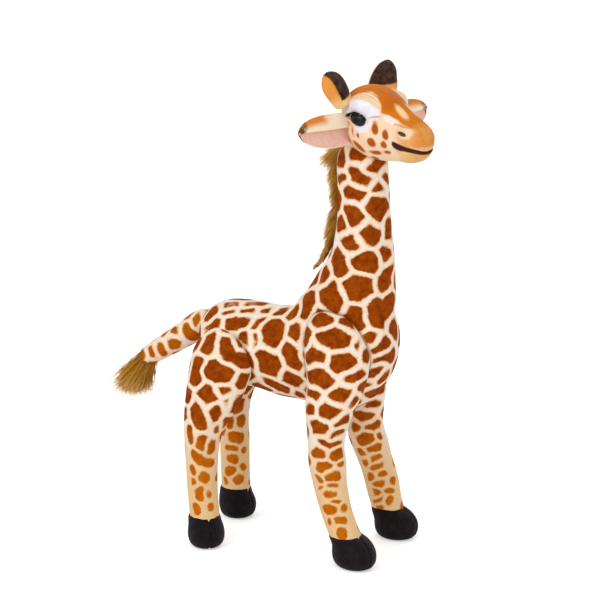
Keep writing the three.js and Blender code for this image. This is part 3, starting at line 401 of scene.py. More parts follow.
def photo_strokes(points):
    """The photograph's strokes that land on these points, in millimetres: their starts, ends,
    reaches and the numbers of their patches."""
    strokes = [np.reshape(numbers, (-1, 5)) for numbers in PATCH_STROKES]
    rows = np.array([(*stroke, patch) for patch, group in enumerate(strokes) for stroke in group])
    starts, start_seen = seen_points(rows[:, :2], points)
    ends, end_seen = seen_points(rows[:, 2:4], points)
    close = np.linalg.norm(ends - starts, axis=1) < STROKE_LIMIT
    kept = start_seen & end_seen & close
    return starts[kept] / MM, ends[kept] / MM, rows[kept, 4] * PIXEL, rows[kept, 5]


def unseen_places(points, turned_away, taken, spacing):
    """Adds the surface point that lies farthest from all taken ones, among those that face
    away from the camera, until none lies further than the spacing. Returns their numbers."""
    away = np.where(turned_away, np.inf, 0)
    for place in taken:
        away = np.minimum(away, np.linalg.norm(points - place, axis=1))
    added = []
    while away.max() > spacing:
        added.append(int(away.argmax()))
        away = np.minimum(away, np.linalg.norm(points - points[added[-1]], axis=1))
    return added


def two_nearest(points, starts, ends, reach, patch):
    """Distances from each point to its nearest and second nearest patch, where a patch's
    distance is the least over its strokes of the distance to the stroke less its reach."""
    run = ends - starts + 1e-6
    along = np.einsum("psk,sk->ps", points[:, None] - starts[None], run) / (run**2).sum(axis=1)
    near = starts[None] + np.clip(along, 0, 1)[..., None] * run[None]
    away = np.linalg.norm(points[:, None] - near, axis=2) - reach
    first_of_each = np.unique(patch, return_index=True)[1]
    away = np.minimum.reduceat(away, first_of_each, axis=1)
    return np.partition(away, 1, axis=1)[:, :2].T


def patch_field(piece, spacing, half_stroke, reach_of, measure=lambda places: places):
    """Millimetres inside the nearest patch: half the way to the second nearest one less half
    a gap. Where the photograph doesn't see, level strokes of a given length are added at even
    spacing, measured on a copy of the points. Also returns the distance to the nearest."""
    points = corners_of(piece) / MM
    normals = normals_of(piece)
    starts, ends, reach, patch = photo_strokes(points * MM)
    to_camera = camera_place / MM - points
    turned_away = (to_camera * normals).sum(axis=1) < TURNED_AWAY * np.linalg.norm(to_camera, axis=1)
    added = unseen_places(measure(points), turned_away, measure(np.concatenate([starts, ends])), spacing)
    level = np.cross(UP, normals[added])
    level /= np.linalg.norm(level, axis=1, keepdims=True) + 1e-9
    places = points[added]
    starts = np.concatenate([starts, places - level * half_stroke])
    ends = np.concatenate([ends, places + level * half_stroke])
    reach = np.concatenate([reach, np.broadcast_to(reach_of(places), len(places))])
    patch = np.concatenate([patch, len(PATCH_STROKES) + np.arange(len(added))])
    bent = warped(points, PATCH_WARP, WARP_LENGTH, WARP_SEED)
    first, second = two_nearest(bent, starts, ends, reach, patch)
    return (second - first) / 2 - PATCH_GAP / 2, first


def set_field(piece, name, values):
    """Keeps one number a corner on the piece, under that name."""
    field = piece.data.attributes.new(name, "FLOAT", "POINT")
    field.data.foreach_set("value", values.astype(np.float32))


def smooth_step(low, high, value):
    """0 at low, 1 at high, held beyond them, and the smooth cubic between."""
    share = np.clip((value - low) / (high - low), 0, 1)
    return share * share * (3 - 2 * share)


field, nearest = patch_field(body_skin, PATCH_SPACING, PATCH_HALF_STROKE, lambda places: PATCH_REACH)
set_field(body_skin, "patch", np.minimum(field, PATCH_LIMIT - nearest))
set_field(body_skin, "warmth", np.zeros(len(field)))

PATCH_BROWN = (122, 48, 0)
PATCH_ORANGE = (158, 74, 2)
LEG_SPOT = (196, 106, 4)
GAP_WHITE = (238, 230, 233)
HALO_CREAM = (244, 208, 162)
LEG_CREAM = (229, 192, 142)
# Painted shade in the seams where the skins meet: its colour and how far it darkens the print.
PAINTED_CREASE_SHADE = (84, 36, 10)
CREASE_SHADE = 0.62


def linear(colour):
    """A colour of 0 to 255 as Blender's linear light: the power of 2.2 of each share."""
    return tuple((np.array(colour) / 255) ** 2.2) + (1.0,)


def add(tree, kind, links=(), **settings):
    """Adds a node, sets what it is told, and links or fills its inputs by name or number."""
    node = tree.nodes.new(kind)
    for key, value in settings.items():
        setattr(node, key, value)
    for socket, source in links:
        if isinstance(source, bpy.types.NodeSocket):
            tree.links.new(source, node.inputs[socket])
        else:
            node.inputs[socket].default_value = source
    return node


def mixed(tree, share, low, high, blend="MIX"):
    """A colour between two, by a share. Three numbers are a colour of 0 to 255."""
    links = [(0, share)]
    for socket, tone in ((6, low), (7, high)):
        plain = isinstance(tone, tuple) and len(tone) == 3
        links.append((socket, linear(tone) if plain else tone))
    return add(tree, "ShaderNodeMix", links, data_type="RGBA", blend_type=blend).outputs[2]


def attribute(tree, name, output="Fac"):
    """What a piece keeps at its corners under that name."""
    return add(tree, "ShaderNodeAttribute", attribute_name=name).outputs[output]


def ramp(tree, value, low, high):
    """A value mapped from low…high to 0…1 and held there."""
    links = [(0, value), (1, low), (2, high)]
    return add(tree, "ShaderNodeMapRange", links, interpolation_type="SMOOTHSTEP").outputs[0]


def sums(tree, operation, *values):
    """One sum of two or three values."""
    return add(tree, "ShaderNodeMath", list(enumerate(values)), operation=operation).outputs[0]


def noise(tree, scale, detail=2.0, stretch=None):
    """Noise on Object coordinates, its scale in waves a metre, stretched along the axes."""
    place = add(tree, "ShaderNodeTexCoord").outputs["Object"]
    if stretch:
        place = add(tree, "ShaderNodeMapping", [("Vector", place), ("Scale", stretch)]).outputs[0]
    links = [("Vector", place), ("Scale", scale), ("Detail", detail)]
    return add(tree, "ShaderNodeTexNoise", links).outputs[0]


def new_group(name, inputs, outputs):
    """An empty node group with named inputs and their values, and named outputs."""
    tree = bpy.data.node_groups.new(name, "ShaderNodeTree")
    for label, value in inputs.items():
        socket = tree.interface.new_socket(label, in_out="INPUT", socket_type="NodeSocketFloat")
        socket.default_value = value
    for label, kind in outputs.items():
        tree.interface.new_socket(label, in_out="OUTPUT", socket_type=kind)
    return tree, add(tree, "NodeGroupInput").outputs, add(tree, "NodeGroupOutput").inputs


def placed(tree, group, **values):
    """A group placed in a material with its own values."""
    node = add(tree, "ShaderNodeGroup", node_tree=group)
    for label, value in values.items():
        node.inputs[label].default_value = value
    return node.outputs


# Short pile, shared by all plush: fine fibres that lean down, and the clumps they gather in.
# It gives a normal, from a bump, and a mottle for the colours.
pile, given, result = new_group(
    "short_pile",
    {"Fibres": 900.0, "Clumps": 150.0, "Depth": 0.0006},
    {"Normal": "NodeSocketVector", "Mottle": "NodeSocketFloat"},
)
place = add(pile, "ShaderNodeTexCoord").outputs["Object"]
leaning = add(pile, "ShaderNodeMapping", [("Vector", place), ("Scale", (1, 1, 0.4))]).outputs[0]
fibres = add(pile, "ShaderNodeTexNoise", [("Vector", leaning), ("Scale", given["Fibres"]), ("Detail", 3)])
clumps = add(pile, "ShaderNodeTexNoise", [("Vector", place), ("Scale", given["Clumps"]), ("Detail", 4)])
height = sums(pile, "MULTIPLY_ADD", clumps.outputs[0], 0.8, fibres.outputs[0])
bump = add(pile, "ShaderNodeBump", [("Strength", 0.6), ("Distance", given["Depth"]), ("Height", height)])
pile.links.new(bump.outputs[0], result["Normal"])
pile.links.new(sums(pile, "MULTIPLY_ADD", fibres.outputs[0], 0.4, clumps.outputs[0]), result["Mottle"])


def new_material(name, roughness, sheen, tint=(255, 240, 225)):
    """A material with its node tree and its Principled shader, with the sheen of cloth."""
    material = bpy.data.materials.new(name)
    material.use_nodes = True
    shader = material.node_tree.nodes["Principled BSDF"]
    shader.inputs["Roughness"].default_value = roughness
    shader.inputs["Sheen Weight"].default_value = sheen
    shader.inputs["Sheen Roughness"].default_value = 0.45
    shader.inputs["Sheen Tint"].default_value = linear(tint)
    shader.inputs["Specular IOR Level"].default_value = 0.2
    return material, material.node_tree, shader.inputs


def coloured(tree, shader, colour, pile_out=None):
    """Links a material's colour, and its pile where it has one."""
    tree.links.new(colour, shader["Base Color"])
    if pile_out:
        tree.links.new(pile_out["Normal"], shader["Normal"])


# The print: patches with ragged edges and a mottle, a cream halo round them, pale gaps that
# are warmer down the legs, and shade in the creases.
printed_plush, tree, shader = new_material("printed_plush", 0.9, 0.06, (230, 170, 110))
shader["Specular IOR Level"].default_value = 0.06
pile_out = placed(tree, pile)
ragged = sums(tree, "MULTIPLY_ADD", noise(tree, 330, 3), 2.4, -1.2)
field = sums(tree, "ADD", attribute(tree, "patch"), ragged)
patch_tone = mixed(tree, ramp(tree, pile_out["Mottle"], 0.45, 0.95), PATCH_ORANGE, PATCH_BROWN)
spot_tone = mixed(tree, ramp(tree, pile_out["Mottle"], 0.5, 1.2), LEG_SPOT, PATCH_ORANGE)
patch_tone = mixed(tree, attribute(tree, "orange"), patch_tone, spot_tone)
gap_tone = mixed(tree, ramp(tree, field, -3.4, -0.5), GAP_WHITE, HALO_CREAM)
halo_tone = mixed(tree, attribute(tree, "warmth"), gap_tone, LEG_CREAM)
tone = mixed(tree, ramp(tree, field, -1.1, 0.8), halo_tone, patch_tone)
# Painted shade: the colour darkens towards brown where two skins meet at a seam.
in_crease = sums(tree, "MULTIPLY", attribute(tree, "crease"), CREASE_SHADE)
coloured(tree, shader, mixed(tree, in_crease, tone, PAINTED_CREASE_SHADE), pile_out)
body_skin.data.materials.append(printed_plush)
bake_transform(body_skin)
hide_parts("torso_cover", "torso_filling", "neck_cover", "neck_filling")

# Leg skins: the same plush, sewn to the torso at the shoulder or hip, and bent by a wire.
# Each is a loft of level ovals that sinks into the torso, blown up like the body.
# Millimetres above the ground, ahead of the joint, out from the midline, half length and width.
FRONT_LEG_ROWS = [
    (259, -13, 25, 1, 1),
    (253, -12, 28, 17, 10),
    (237, -7, 34.5, 30, 17),
    (213, -1.5, 39.5, 35, 20),
    (185, -1, 43, 31.5, 20),
    (160, -6, 46.5, 27, 17.5),
    (140, -8.4, 47, 21.5, 17),
    (122, -9.9, 47, 18.6, 17),
    (103, -8.3, 47.5, 19, 17.6),
    (81, -5.2, 48, 16.8, 15.9),
    (58, 0.4, 48, 16, 15.2),
    (39, 7.3, 48, 16.3, 15.5),
    (22, 15.5, 48, 15, 14.5),
    (18, 17, 48, 1, 1),
]
REAR_LEG_ROWS = [
    (233, 2, 22, 1, 1),
    (227, 2, 26, 17, 10),
    (211, 1, 33, 31, 17),
    (190, -0.5, 39, 35, 20),
    (167, -4.2, 43.5, 32, 19.5),
    (146, -9.6, 46.5, 27, 17.8),
    (127, -15.4, 47, 21.4, 17),
    (108, -19.5, 47, 17.6, 16.7),
    (85, -21, 47, 16.2, 16),
    (60, -21, 47, 15.4, 15.2),
    (38, -20, 47, 15.4, 15.2),
    (24, -19.3, 47, 14.5, 14.5),
    (20, -19.1, 47, 1, 1),
]
# How each leg's own wire is bent: height, how much further ahead it is there than the rows,
# and how much longer its half length.
LEG_BENDS = {
    "leg_front_right": [(40, 0.4, 0.3), (70, 1, 1.4), (110, 0.9, 1.5), (150, 0, 0.7), (190, 0, 0)],
    "leg_front_left": [
        (22, 8, 0), (39, 11, 1.4), (58, 14, 3.5), (72, 13.8, 3.7), (85, 11.8, 3.6), (110, 7, 2.8),
        (137, 5.6, 0.2), (165, 1.4, -3.6), (200, -1.5, -2.5), (240, 0, 0),
    ],
    "leg_rear_right": [
        (24, 3.2, 0), (60, 2.9, 1.3), (85, 2.8, 1.6), (124, 0.9, 2.1), (146, 0.6, 1.3), (180, 1, -0.8),
        (225, 0, 0),
    ],
    "leg_rear_left": [
        (24, -3, 0), (60, -2.2, 1), (85, -2.2, 0.8), (110, -4.2, -0.8), (137, -10, -3), (158, -12, -5),
        (190, -3, -1.6),
    ],
}
LEG_VOXEL = 3
LEG_SMOOTHING = 6
LEG_SWELL_CAP = 1.5


def leg_centre_rows(name):
    """Along the leg's centre line: height, place ahead, place left, and the two half sizes."""
    rows = smooth_rows(FRONT_LEG_ROWS if "front" in name else REAR_LEG_ROWS, 80)
    height, further, out, half_length, half_width = rows.T
    bend_height, bend_ahead, bend_longer = np.array(LEG_BENDS[name], float).T
    ahead = joint[f"{name}_swing"][0] + further + np.interp(height, bend_height, bend_ahead)
    longer = np.interp(height, bend_height, bend_longer) * smooth_step(1, 12, half_length)
    left = MIDLINE + out * (-1 if "right" in name else 1)
    return height, ahead, left, half_length + longer, half_width


leg_skins = {}
for name in LEGS:
    height, ahead, left, half_length, half_width = leg_centre_rows(name)
    leg_grid = skin_grid(ahead, left, height, AHEAD, half_length, LEFT, half_width)
    leg_skins[name] = stuffed(fused(f"{name}_skin", [leg_grid], LEG_VOXEL, LEG_SMOOTHING), LEG_SWELL_CAP)

# The seams round the tops of the legs: where two skins meet, the seam pulls both in and the
# pile lies in shade.
CREASE_WIDTH = 2.6
CREASE_CORE = 0.2
CREASE_DEPTH = 0.9
# On the haunch it only shows on the front side: millimetres ahead of the hip joint.
CREASE_AHEAD = (2, 24)


def sewn_to(piece, others):
    """Pulls the skin in by the crease's depth where it comes near one of the other skins, and
    keeps how near it is. A Geometry Proximity node measures the distance."""
    tree = bpy.data.node_groups.new("seam_distance", "GeometryNodeTree")
    for way in ("INPUT", "OUTPUT"):
        tree.interface.new_socket("Geometry", in_out=way, socket_type="NodeSocketGeometry")
    joined = add(tree, "GeometryNodeJoinGeometry")
    for other in others:
        skin = add(tree, "GeometryNodeObjectInfo", [("Object", other)])
        tree.links.new(skin.outputs["Geometry"], joined.inputs[0])
    near = add(tree, "GeometryNodeProximity", [(0, joined.outputs[0])], target_element="FACES")
    skin = add(tree, "NodeGroupInput").outputs[0]
    links = [("Geometry", skin), ("Name", "near"), ("Value", near.outputs["Distance"])]
    stored = add(tree, "GeometryNodeStoreNamedAttribute", links, data_type="FLOAT", domain="POINT")
    tree.links.new(stored.outputs[0], add(tree, "NodeGroupOutput").inputs[0])
    measure = piece.modifiers.new("seam_distance", "NODES")
    measure.node_group = tree
    seen = piece.evaluated_get(bpy.context.evaluated_depsgraph_get())
    near = np.empty(len(piece.data.vertices), np.float32)
    seen.data.attributes["near"].data.foreach_get("value", near)
    piece.modifiers.remove(measure)
    points = corners_of(piece)
    crease = smooth_step(CREASE_WIDTH, CREASE_CORE, near / MM)
    crease *= smooth_step(*CREASE_AHEAD, points[:, 0] / MM - hip[0])
    move_corners(piece, points - normals_of(piece) * (crease * CREASE_DEPTH * MM)[:, None])
    set_field(piece, "crease", crease)


sewn_to(body_skin, list(leg_skins.values()))
for piece in leg_skins.values():
    sewn_to(piece, [body_skin])

SPOT_SPACING = 19
SPOTS_BELOW = 150
SPOT_FLATNESS = 1.5
SPOT_HALF_STROKE = 3.4
SPOT_REACH_HIGH = 5.5
SPOT_REACH_LOW = 3.2
SPOT_LIMIT = 1.5
WARM_FROM = 168
WARM_BELOW = 65
ORANGE_FROM = 150
ORANGE_BELOW = 78
# Below the knee the gaps between spots are narrower by twice this.
SPOT_WIDEN = 1.1


def flattened(points):
    """Points with their height below the knee stretched, so that equal distances in it make
    spots that are wider than tall."""
    low = np.minimum(points[:, 2:] - SPOTS_BELOW, 0) * (SPOT_FLATNESS - 1)
    return points + low * UP


def spot_reach(places):
    """Half a spot's thickness, less towards the hoof."""
    low = smooth_step(SPOTS_BELOW + 20, 40, places[:, 2])
    return SPOT_REACH_HIGH + (SPOT_REACH_LOW - SPOT_REACH_HIGH) * low


for name, piece in leg_skins.items():
    height = corners_of(piece)[:, 2] / MM
    field, nearest = patch_field(piece, SPOT_SPACING, SPOT_HALF_STROKE, spot_reach, flattened)
    limit = PATCH_LIMIT * smooth_step(SPOTS_BELOW - 30, SPOTS_BELOW + 20, height) + SPOT_LIMIT
    field += SPOT_WIDEN * smooth_step(SPOTS_BELOW, SPOTS_BELOW - 50, height)
    set_field(piece, "patch", np.minimum(field, limit - nearest))
    set_field(piece, "warmth", smooth_step(WARM_FROM, WARM_BELOW, height))
    set_field(piece, "orange", smooth_step(ORANGE_FROM, ORANGE_BELOW, height))
    piece.data.materials.append(printed_plush)
    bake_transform(piece)
    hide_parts(f"{name}_cover", f"{name}_filling")

# Hooves: black brown velvet boots stuffed hard and sewn to the leg ends, with a seam up the
# toe and a flat sole. Each is a rounded toe box joined to a cuff round the ankle.
HOOF_HEIGHT = 34
HOOF_CUFF_HEIGHT = 37
HOOF_CUFF_FOOT = 8
HOOF_CUFF_HALF = 17
HOOF_CUFF_RINGS = 16
HOOF_RINGS = 44
# Share of the hoof's height, share of its outline, and share of its length it leans back.
HOOF_ROWS = [
    (0, 0.05, 0), (0, 0.62, 0), (0.04, 0.78, 0), (0.14, 0.92, 0), (0.32, 1, 0), (0.52, 0.99, -0.01),
    (0.72, 0.9, -0.05), (0.87, 0.74, -0.1), (0.96, 0.5, -0.14), (1, 0.05, -0.16),
]
# How far each hoof is turned from straight ahead, in degrees, its length and width, and how
# far ahead and left of its place it has been sewn on.
HOOF_SHAPES = {
    "leg_front_right": (-28, 50, 41, -1, -2),
    "leg_front_left": (-4, 47, 39, 1.5, 0),
    "leg_rear_right": (-52, 41, 38, 1.5, -1),
    "leg_rear_left": (-12, 40, 39, 0, 0),
}
HOOF_VOXEL = 2.5
HOOF_SMOOTHING = 6
HOOF_SWELL_CAP = 1.0
TOE_SEAM_DEPTH = 1.4
TOE_SEAM_HALF = 0.9
HOOF_BLACK = (7, 3, 5)
HOOF_BROWN = (36, 24, 25)
hoof_velvet, tree, shader = new_material("hoof_velvet", 0.85, 0.3, (150, 130, 150))
pile_out = placed(tree, pile, Fibres=700.0, Clumps=110.0, Depth=0.0012)
hoof_tone = mixed(tree, ramp(tree, pile_out["Mottle"], 0.55, 1.05), HOOF_BLACK, HOOF_BROWN)
coloured(tree, shader, hoof_tone, pile_out)
for leg, (turn, length, width, *shift) in HOOF_SHAPES.items():
    low_corner, high_corner = hoof_boxes[leg] / MM
    centre = (low_corner + high_corner) / 2 * (1, 1, 0) + (*shift, 0)
    share, outline, lean = smooth_rows(HOOF_ROWS, HOOF_RINGS).T
    turn = np.radians(turn)
    toe = np.array((np.cos(turn), np.sin(turn), 0))
    across = np.array((-np.sin(turn), np.cos(turn), 0))
    middles = centre + toe * (lean * length)[:, None] + UP * (share * HOOF_HEIGHT)[:, None]
    outline = np.maximum(outline, 0.03)[:, None]
    box = oval_grid(middles, toe * outline * length / 2, across * outline * width / 2, SKIN_SIDES)
    height, ahead, left = [row[::-1] for row in leg_centre_rows(leg)[:3]]
    heights = np.linspace(HOOF_CUFF_HEIGHT, HOOF_CUFF_FOOT, HOOF_CUFF_RINGS)
    ankle = np.stack([np.interp(heights, height, ahead), np.interp(heights, height, left), heights], axis=1)
    barrel = np.sqrt(np.clip(1 - np.linspace(-1, 1, HOOF_CUFF_RINGS) ** 8, 0.001, 1))
    half = HOOF_CUFF_HALF * barrel[:, None]
    cuff = oval_grid(ankle, AHEAD * half, LEFT * half, SKIN_SIDES)
    hoof = fused(f"{HOOVES[leg]}_boot", [box, cuff], HOOF_VOXEL, HOOF_SMOOTHING)
    hoof = stuffed(hoof, HOOF_SWELL_CAP)
    points = corners_of(hoof) / MM
    across_toe, along_toe = (points - centre) @ across, (points - centre) @ toe
    seam = TOE_SEAM_DEPTH * np.exp(-((across_toe / TOE_SEAM_HALF) ** 2)) * smooth_step(0, 6, along_toe)
    points -= normals_of(hoof) * seam[:, None]
    points[:, 2] = np.maximum(points[:, 2], 0)
    move_corners(hoof, points * MM)
    hoof.data.materials.append(hoof_velvet)
    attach(hoof, leg)
    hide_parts(HOOVES[leg])

# Head cover: printed plush sewn to a bridge, two cheeks, a puffed brow over each eye and a
# lower lip, stuffed firmly. The face turns towards the right side, above the neck.
HEAD_TURN = np.radians(-28)
forward = np.array((np.cos(HEAD_TURN), np.sin(HEAD_TURN), 0))
leftward = np.array((-np.sin(HEAD_TURN), np.cos(HEAD_TURN), 0))
head_axes = np.stack([forward, leftward, UP])
head_pivot = joint["head_turn"]
# Millimetres ahead of the pivot, top, bottom, half width, and height of the widest place.
HEAD_ROWS = [
    (-19, 50, 38, 1, 44),
    (-17, 58, 29, 13, 44),
    (-12, 66, 20, 19.5, 44),
    (-4, 72.5, 12, 24, 45),
    (6, 76, 7, 26, 46),
    (16, 76.5, 4.5, 26.5, 46),
    (27, 75, 4.2, 25.5, 44),
    (38, 71.5, 4.8, 23, 40),
    (48, 67, 6, 20.5, 36),
    (57, 62, 7.5, 18.5, 33),
    (66, 57, 7.8, 17.5, 31),
    (74, 52.5, 8.8, 17, 30),
    (81, 48, 10.8, 16, 30),
    (87, 43.5, 13.8, 13.4, 30),
    (91.5, 38.5, 18, 9, 30),
    (94, 32, 26, 1, 30),
]
HEAD_RINGS = 90
HEAD_SIDES = 72
HEAD_SQUARENESS = 2.3
HEAD_VOXEL = 3
HEAD_SMOOTHING = 5
HEAD_SWELL_CAP = 1.5
# Soft bumps and dents: ahead, out, up, radius ahead, radius out, radius up, and height.
HEAD_BUMPS = [
    (26, 25, 61, 14, 12, 9.5, 8.0),
    (40, 12, 68, 12, 9, 9, -1.2),
    (19, 27, 46.5, 9, 12, 6.5, -4.2),
    (33, 22, 27, 12, 12, 10, 2.0),
    (10, 25, 24, 12, 12, 10, 1.0),
    (74, 16, 39, 8, 10, 7, 2.2),
    (88, 7, 38, 9, 9, 8, 1.5),
    (74, 8, 12, 12, 14, 7, 1.0),
    (52, 19, 42, 11, 9, 8, -1.4),
]
# The mouth: from its corner to the middle of the lip, ahead, out and up.
MOUTH_LINE = [
    (62.5, 20, 28), (66, 19.5, 26.6), (72, 18.5, 25.2), (79, 16.5, 24.4), (86, 11.5, 22.9), (90.5, 6, 21.2),
    (93, 0, 20.6),
]
# The mouth is measured by its turn round a place this far ahead. Past its corner a radian
# counts as this many millimetres.
MOUTH_CENTRE = 58
CORNER_REACH = 20
# Half the slit's height, from its corner to the middle of the lip.
MOUTH_OPENS = (1.4, 3.2, 3.4, 2.3, 1.9, 1.5, 1.4)
MOUTH_DEPTH = 3.0
MOUTH_WIDTH = 1.8


def in_head(points):
    """Points in millimetres ahead of, left of and above the head's pivot."""
    return (points - head_pivot) @ head_axes.T


def from_head(places):
    """Points from millimetres ahead of, left of and above the head's pivot."""
    return head_pivot + np.asarray(places, float) @ head_axes


def away_from_line(points, line):
    """Distance from each point to a line of points: the least over its straight stretches of
    the distance to the nearest place on the stretch."""
    line = np.asarray(line, float)
    start, run = line[:-1], np.diff(line, axis=0)
    along = np.einsum("psk,sk->ps", points[:, None] - start[None], run) / (run**2).sum(axis=1)
    near = start[None] + np.clip(along, 0, 1)[..., None] * run[None]
    return np.linalg.norm(points[:, None] - near, axis=2).min(axis=1)


def turn_round_mouth(places):
    """How far round the mouth's centre each place is from straight ahead, in radians."""
    return np.arctan2(places[:, 1], places[:, 0] - MOUTH_CENTRE)


# Upright rounded oblongs from the back of the head to the lips: the sine and cosine of an
# angle raised to a power, with the widest place at its own height.
ahead, top, bottom, half, middle = smooth_rows(HEAD_ROWS, HEAD_RINGS).T
angle = np.linspace(0, 2 * np.pi, HEAD_SIDES, endpoint=False)
wave = np.stack([np.cos(angle), np.sin(angle)])
across, rise = np.sign(wave) * abs(wave) ** (2 / HEAD_SQUARENESS)
reach = np.where(rise[None] > 0, (top - middle)[:, None], (middle - bottom)[:, None])
heights = middle[:, None] + reach * rise[None]
sides = -half[:, None] * across[None]
head_grid = np.stack([np.repeat(ahead[:, None], HEAD_SIDES, axis=1), sides, heights], axis=2)
head_skin = fused("head_skin", [from_head(head_grid)], HEAD_VOXEL, HEAD_SMOOTHING)
head_skin = stuffed(head_skin, HEAD_SWELL_CAP, levels=2)
points = corners_of(head_skin) / MM
skin_places = in_head(points)
skin_places[:, 1] = abs(skin_places[:, 1])
ahead, side, height = skin_places.T
lift = np.zeros(len(points))
for *middle, reach_ahead, reach_out, reach_up, amount in HEAD_BUMPS:
    away = (skin_places - middle) / (reach_ahead, reach_out, reach_up)
    lift += amount * np.exp(-((away**2).sum(axis=1)))
mouth_line = smooth_rows(MOUTH_LINE, 60)[::-1]
mouth_turn = turn_round_mouth(mouth_line)
corner_turns = turn_round_mouth(np.array(MOUTH_LINE)[::-1])
turn = turn_round_mouth(skin_places)
past_corner = np.clip(turn - mouth_turn[-1], 0, None) * CORNER_REACH
from_mouth = np.hypot(height - np.interp(turn, mouth_turn, mouth_line[:, 2]), past_corner)
mouth_half = np.interp(turn, corner_turns, MOUTH_OPENS[::-1])
lift -= MOUTH_DEPTH * np.exp(-((from_mouth / MOUTH_WIDTH) ** 2))
points += normals_of(head_skin) * lift[:, None]
move_corners(head_skin, points * MM)
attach(head_skin, "head")
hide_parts("head_cover", "head_filling")

# Printed colours of the face, placed by measures of the head ahead, out and up, the same on
# both sides. The blaze lies above a line of ahead and up.
FACE_CREAM = (250, 217, 180)
FACE_BLAZE = (212, 120, 14)
FACE_BLAZE_DEEP = (194, 96, 2)
BROW_WHITE = (240, 240, 250)
BROW_TAN = (252, 222, 182)
WRINKLE_TAN = (222, 158, 96)
MUZZLE_ORANGE = (232, 158, 78)
LIP_ORANGE = (222, 140, 62)
CHIN_PEACH = (238, 192, 134)
CHEEK_SPOT = (176, 84, 4)
PALE_PINK = (250, 232, 222)
PALE_PEACH = (247, 214, 180)
BRIDGE_HIGHLIGHT_CREAM = (250, 210, 158)
NOSTRIL_SHADE_ORANGE = (188, 104, 20)
LID_BROWN = (120, 70, 48)
SEAM_SHADE = (205, 150, 110)
MOUTH_DARK = (58, 22, 22)
BLAZE_EDGE = [
    (-19, 46), (-10, 54), (-2, 60.5), (8, 65.4), (14.7, 68.6), (21, 71.2), (27, 71.4), (33, 69.4),
    (38.5, 65.5), (42.2, 62), (44.6, 58), (45.8, 54.6), (51.6, 54.2), (57.5, 52.6), (63.7, 50.4),
    (70.5, 46.8), (78, 44.8), (85.5, 43), (90, 38), (94, 30),
]
# The puffed lid: ahead, up, half length and half height of the oval where its white ends, and
# of the wider one where the wrinkled brow ends.
LID_OVAL = (20, 52, 25, 11.6)
BROW_OVAL = (22, 54, 24, 17.8)
BROW_WRINKLES = 4
# Where painted shade lies: the seam under the cheek, ahead and up, and the crease over the nostril.
CHEEK_SEAM = [(7, 40), (4.5, 32), (5.5, 24), (10.5, 15.5), (17.5, 9), (26, 6)]
NOSTRIL_CREASE = [(62, 46.4), (68, 46), (74, 44.6), (82, 44.6)]
# Ovals: ahead, up, half length, half height, and turn in degrees.
PALE_CHEEK = (56.5, 50, 12.5, 5.2, -18)
UNDER_EYE = (25, 44.5, 12.5, 11, 0)
AROUND_NOSTRIL = (76.5, 39.5, 9.5, 6.8, -12)
LID_CORNER = (6, 46, 4.4, 1.3, -22)
LID_FOLD = (41, 51, 6, 1, 10)
# The painted highlight along the bridge of the nose: this one is measured ahead and out.
BRIDGE_HIGHLIGHT_OVAL = (62.5, 6.6, 10.5, 3.3, 2)
CHEEK_SPOTS = [
    (41.4, 40.6, 3.8, 5.8, 10), (53.4, 35.6, 3.4, 5.9, 20), (37.5, 27, 5.1, 4.2, -25),
    (51.6, 25.3, 4.1, 4, 0), (18.4, 18, 7, 3.6, -42), (37.5, 15.2, 6.4, 2, 6), (53.5, 18, 4.2, 1.5, 6),
    (5.5, 42, 2.8, 1.3, -50), (13, 33.4, 1.5, 3.4, 12), (5.8, 24, 1.3, 4, 20), (21, 30.8, 2.2, 2.3, 0),
    (-6, 40, 3.8, 6, 15), (-8, 22, 4.2, 4.4, 0), (-14, 33, 3, 4, 0), (30, 8, 5, 2.4, 0),
    (4, 9.5, 4, 3, 0),
]
STREAK_SPACINGS = (1.0, 1.4, 1.8, 2.4, 3.0)
STREAK_DEPTH = 0.07
FACE_SHADE = 0.6


def out_of_oval(across, up, oval):
    """The share of the way out from the oval's middle to its edge: 1 on the edge."""
    middle_across, middle_up, half_across, half_up = oval
    return np.sqrt(((across - middle_across) / half_across) ** 2 + ((up - middle_up) / half_up) ** 2)


def oval_field(across, up, spot):
    """Millimetres inside a turned oval: one less its share of the way out, times its smaller
    half size."""
    middle_across, middle_up, half_across, half_up, turn = spot
    turn = np.radians(turn)
    across, up = across - middle_across, up - middle_up
    along = across * np.cos(turn) + up * np.sin(turn)
    above = up * np.cos(turn) - across * np.sin(turn)
    return (1 - out_of_oval(along, above, (0, 0, half_across, half_up))) * min(half_across, half_up)


def tinted(colour, other, share):
    """Every point's colour moved towards another one by its share."""
    return colour + (np.array(linear(other)[:3]) - colour) * np.clip(share, 0, 1)[:, None]


paint = np.tile(np.array(linear(FACE_CREAM)[:3]), (len(points), 1))
wobble = (warped(skin_places, 1.0, 9, 7) - skin_places)[:, 2]
# Cheek spots and the pale patches on the cheek and round the eye.
paint = tinted(paint, PALE_PINK, smooth_step(0, 3, oval_field(ahead, height, PALE_CHEEK)))
for spot in CHEEK_SPOTS:
    in_spot = oval_field(ahead, height, spot) + wobble * 0.6
    paint = tinted(paint, CHEEK_SPOT, smooth_step(-0.9, 0.9, in_spot))
paint = tinted(paint, BROW_WHITE, smooth_step(-1.2, 1.6, oval_field(ahead, height, UNDER_EYE)))
# Muzzle, lips and chin.
from_front = smooth_step(62, 80, ahead + (38 - height) * 0.15)
paint = tinted(paint, MUZZLE_ORANGE, from_front * smooth_step(23, 29, height) * 0.9)
paint = tinted(paint, LIP_ORANGE, smooth_step(82, 91, ahead) * smooth_step(24, 30, height) * 0.8)
around_nostril = oval_field(ahead, height, AROUND_NOSTRIL)
paint = tinted(paint, PALE_PEACH, smooth_step(-0.5, 3, around_nostril) * smooth_step(5, 9, side))
paint = tinted(paint, CHIN_PEACH, smooth_step(60, 72, ahead) * smooth_step(28, 24, height))
paint = tinted(paint, MUZZLE_ORANGE, smooth_step(74, 86, ahead) * smooth_step(26, 20, height) * 0.6)
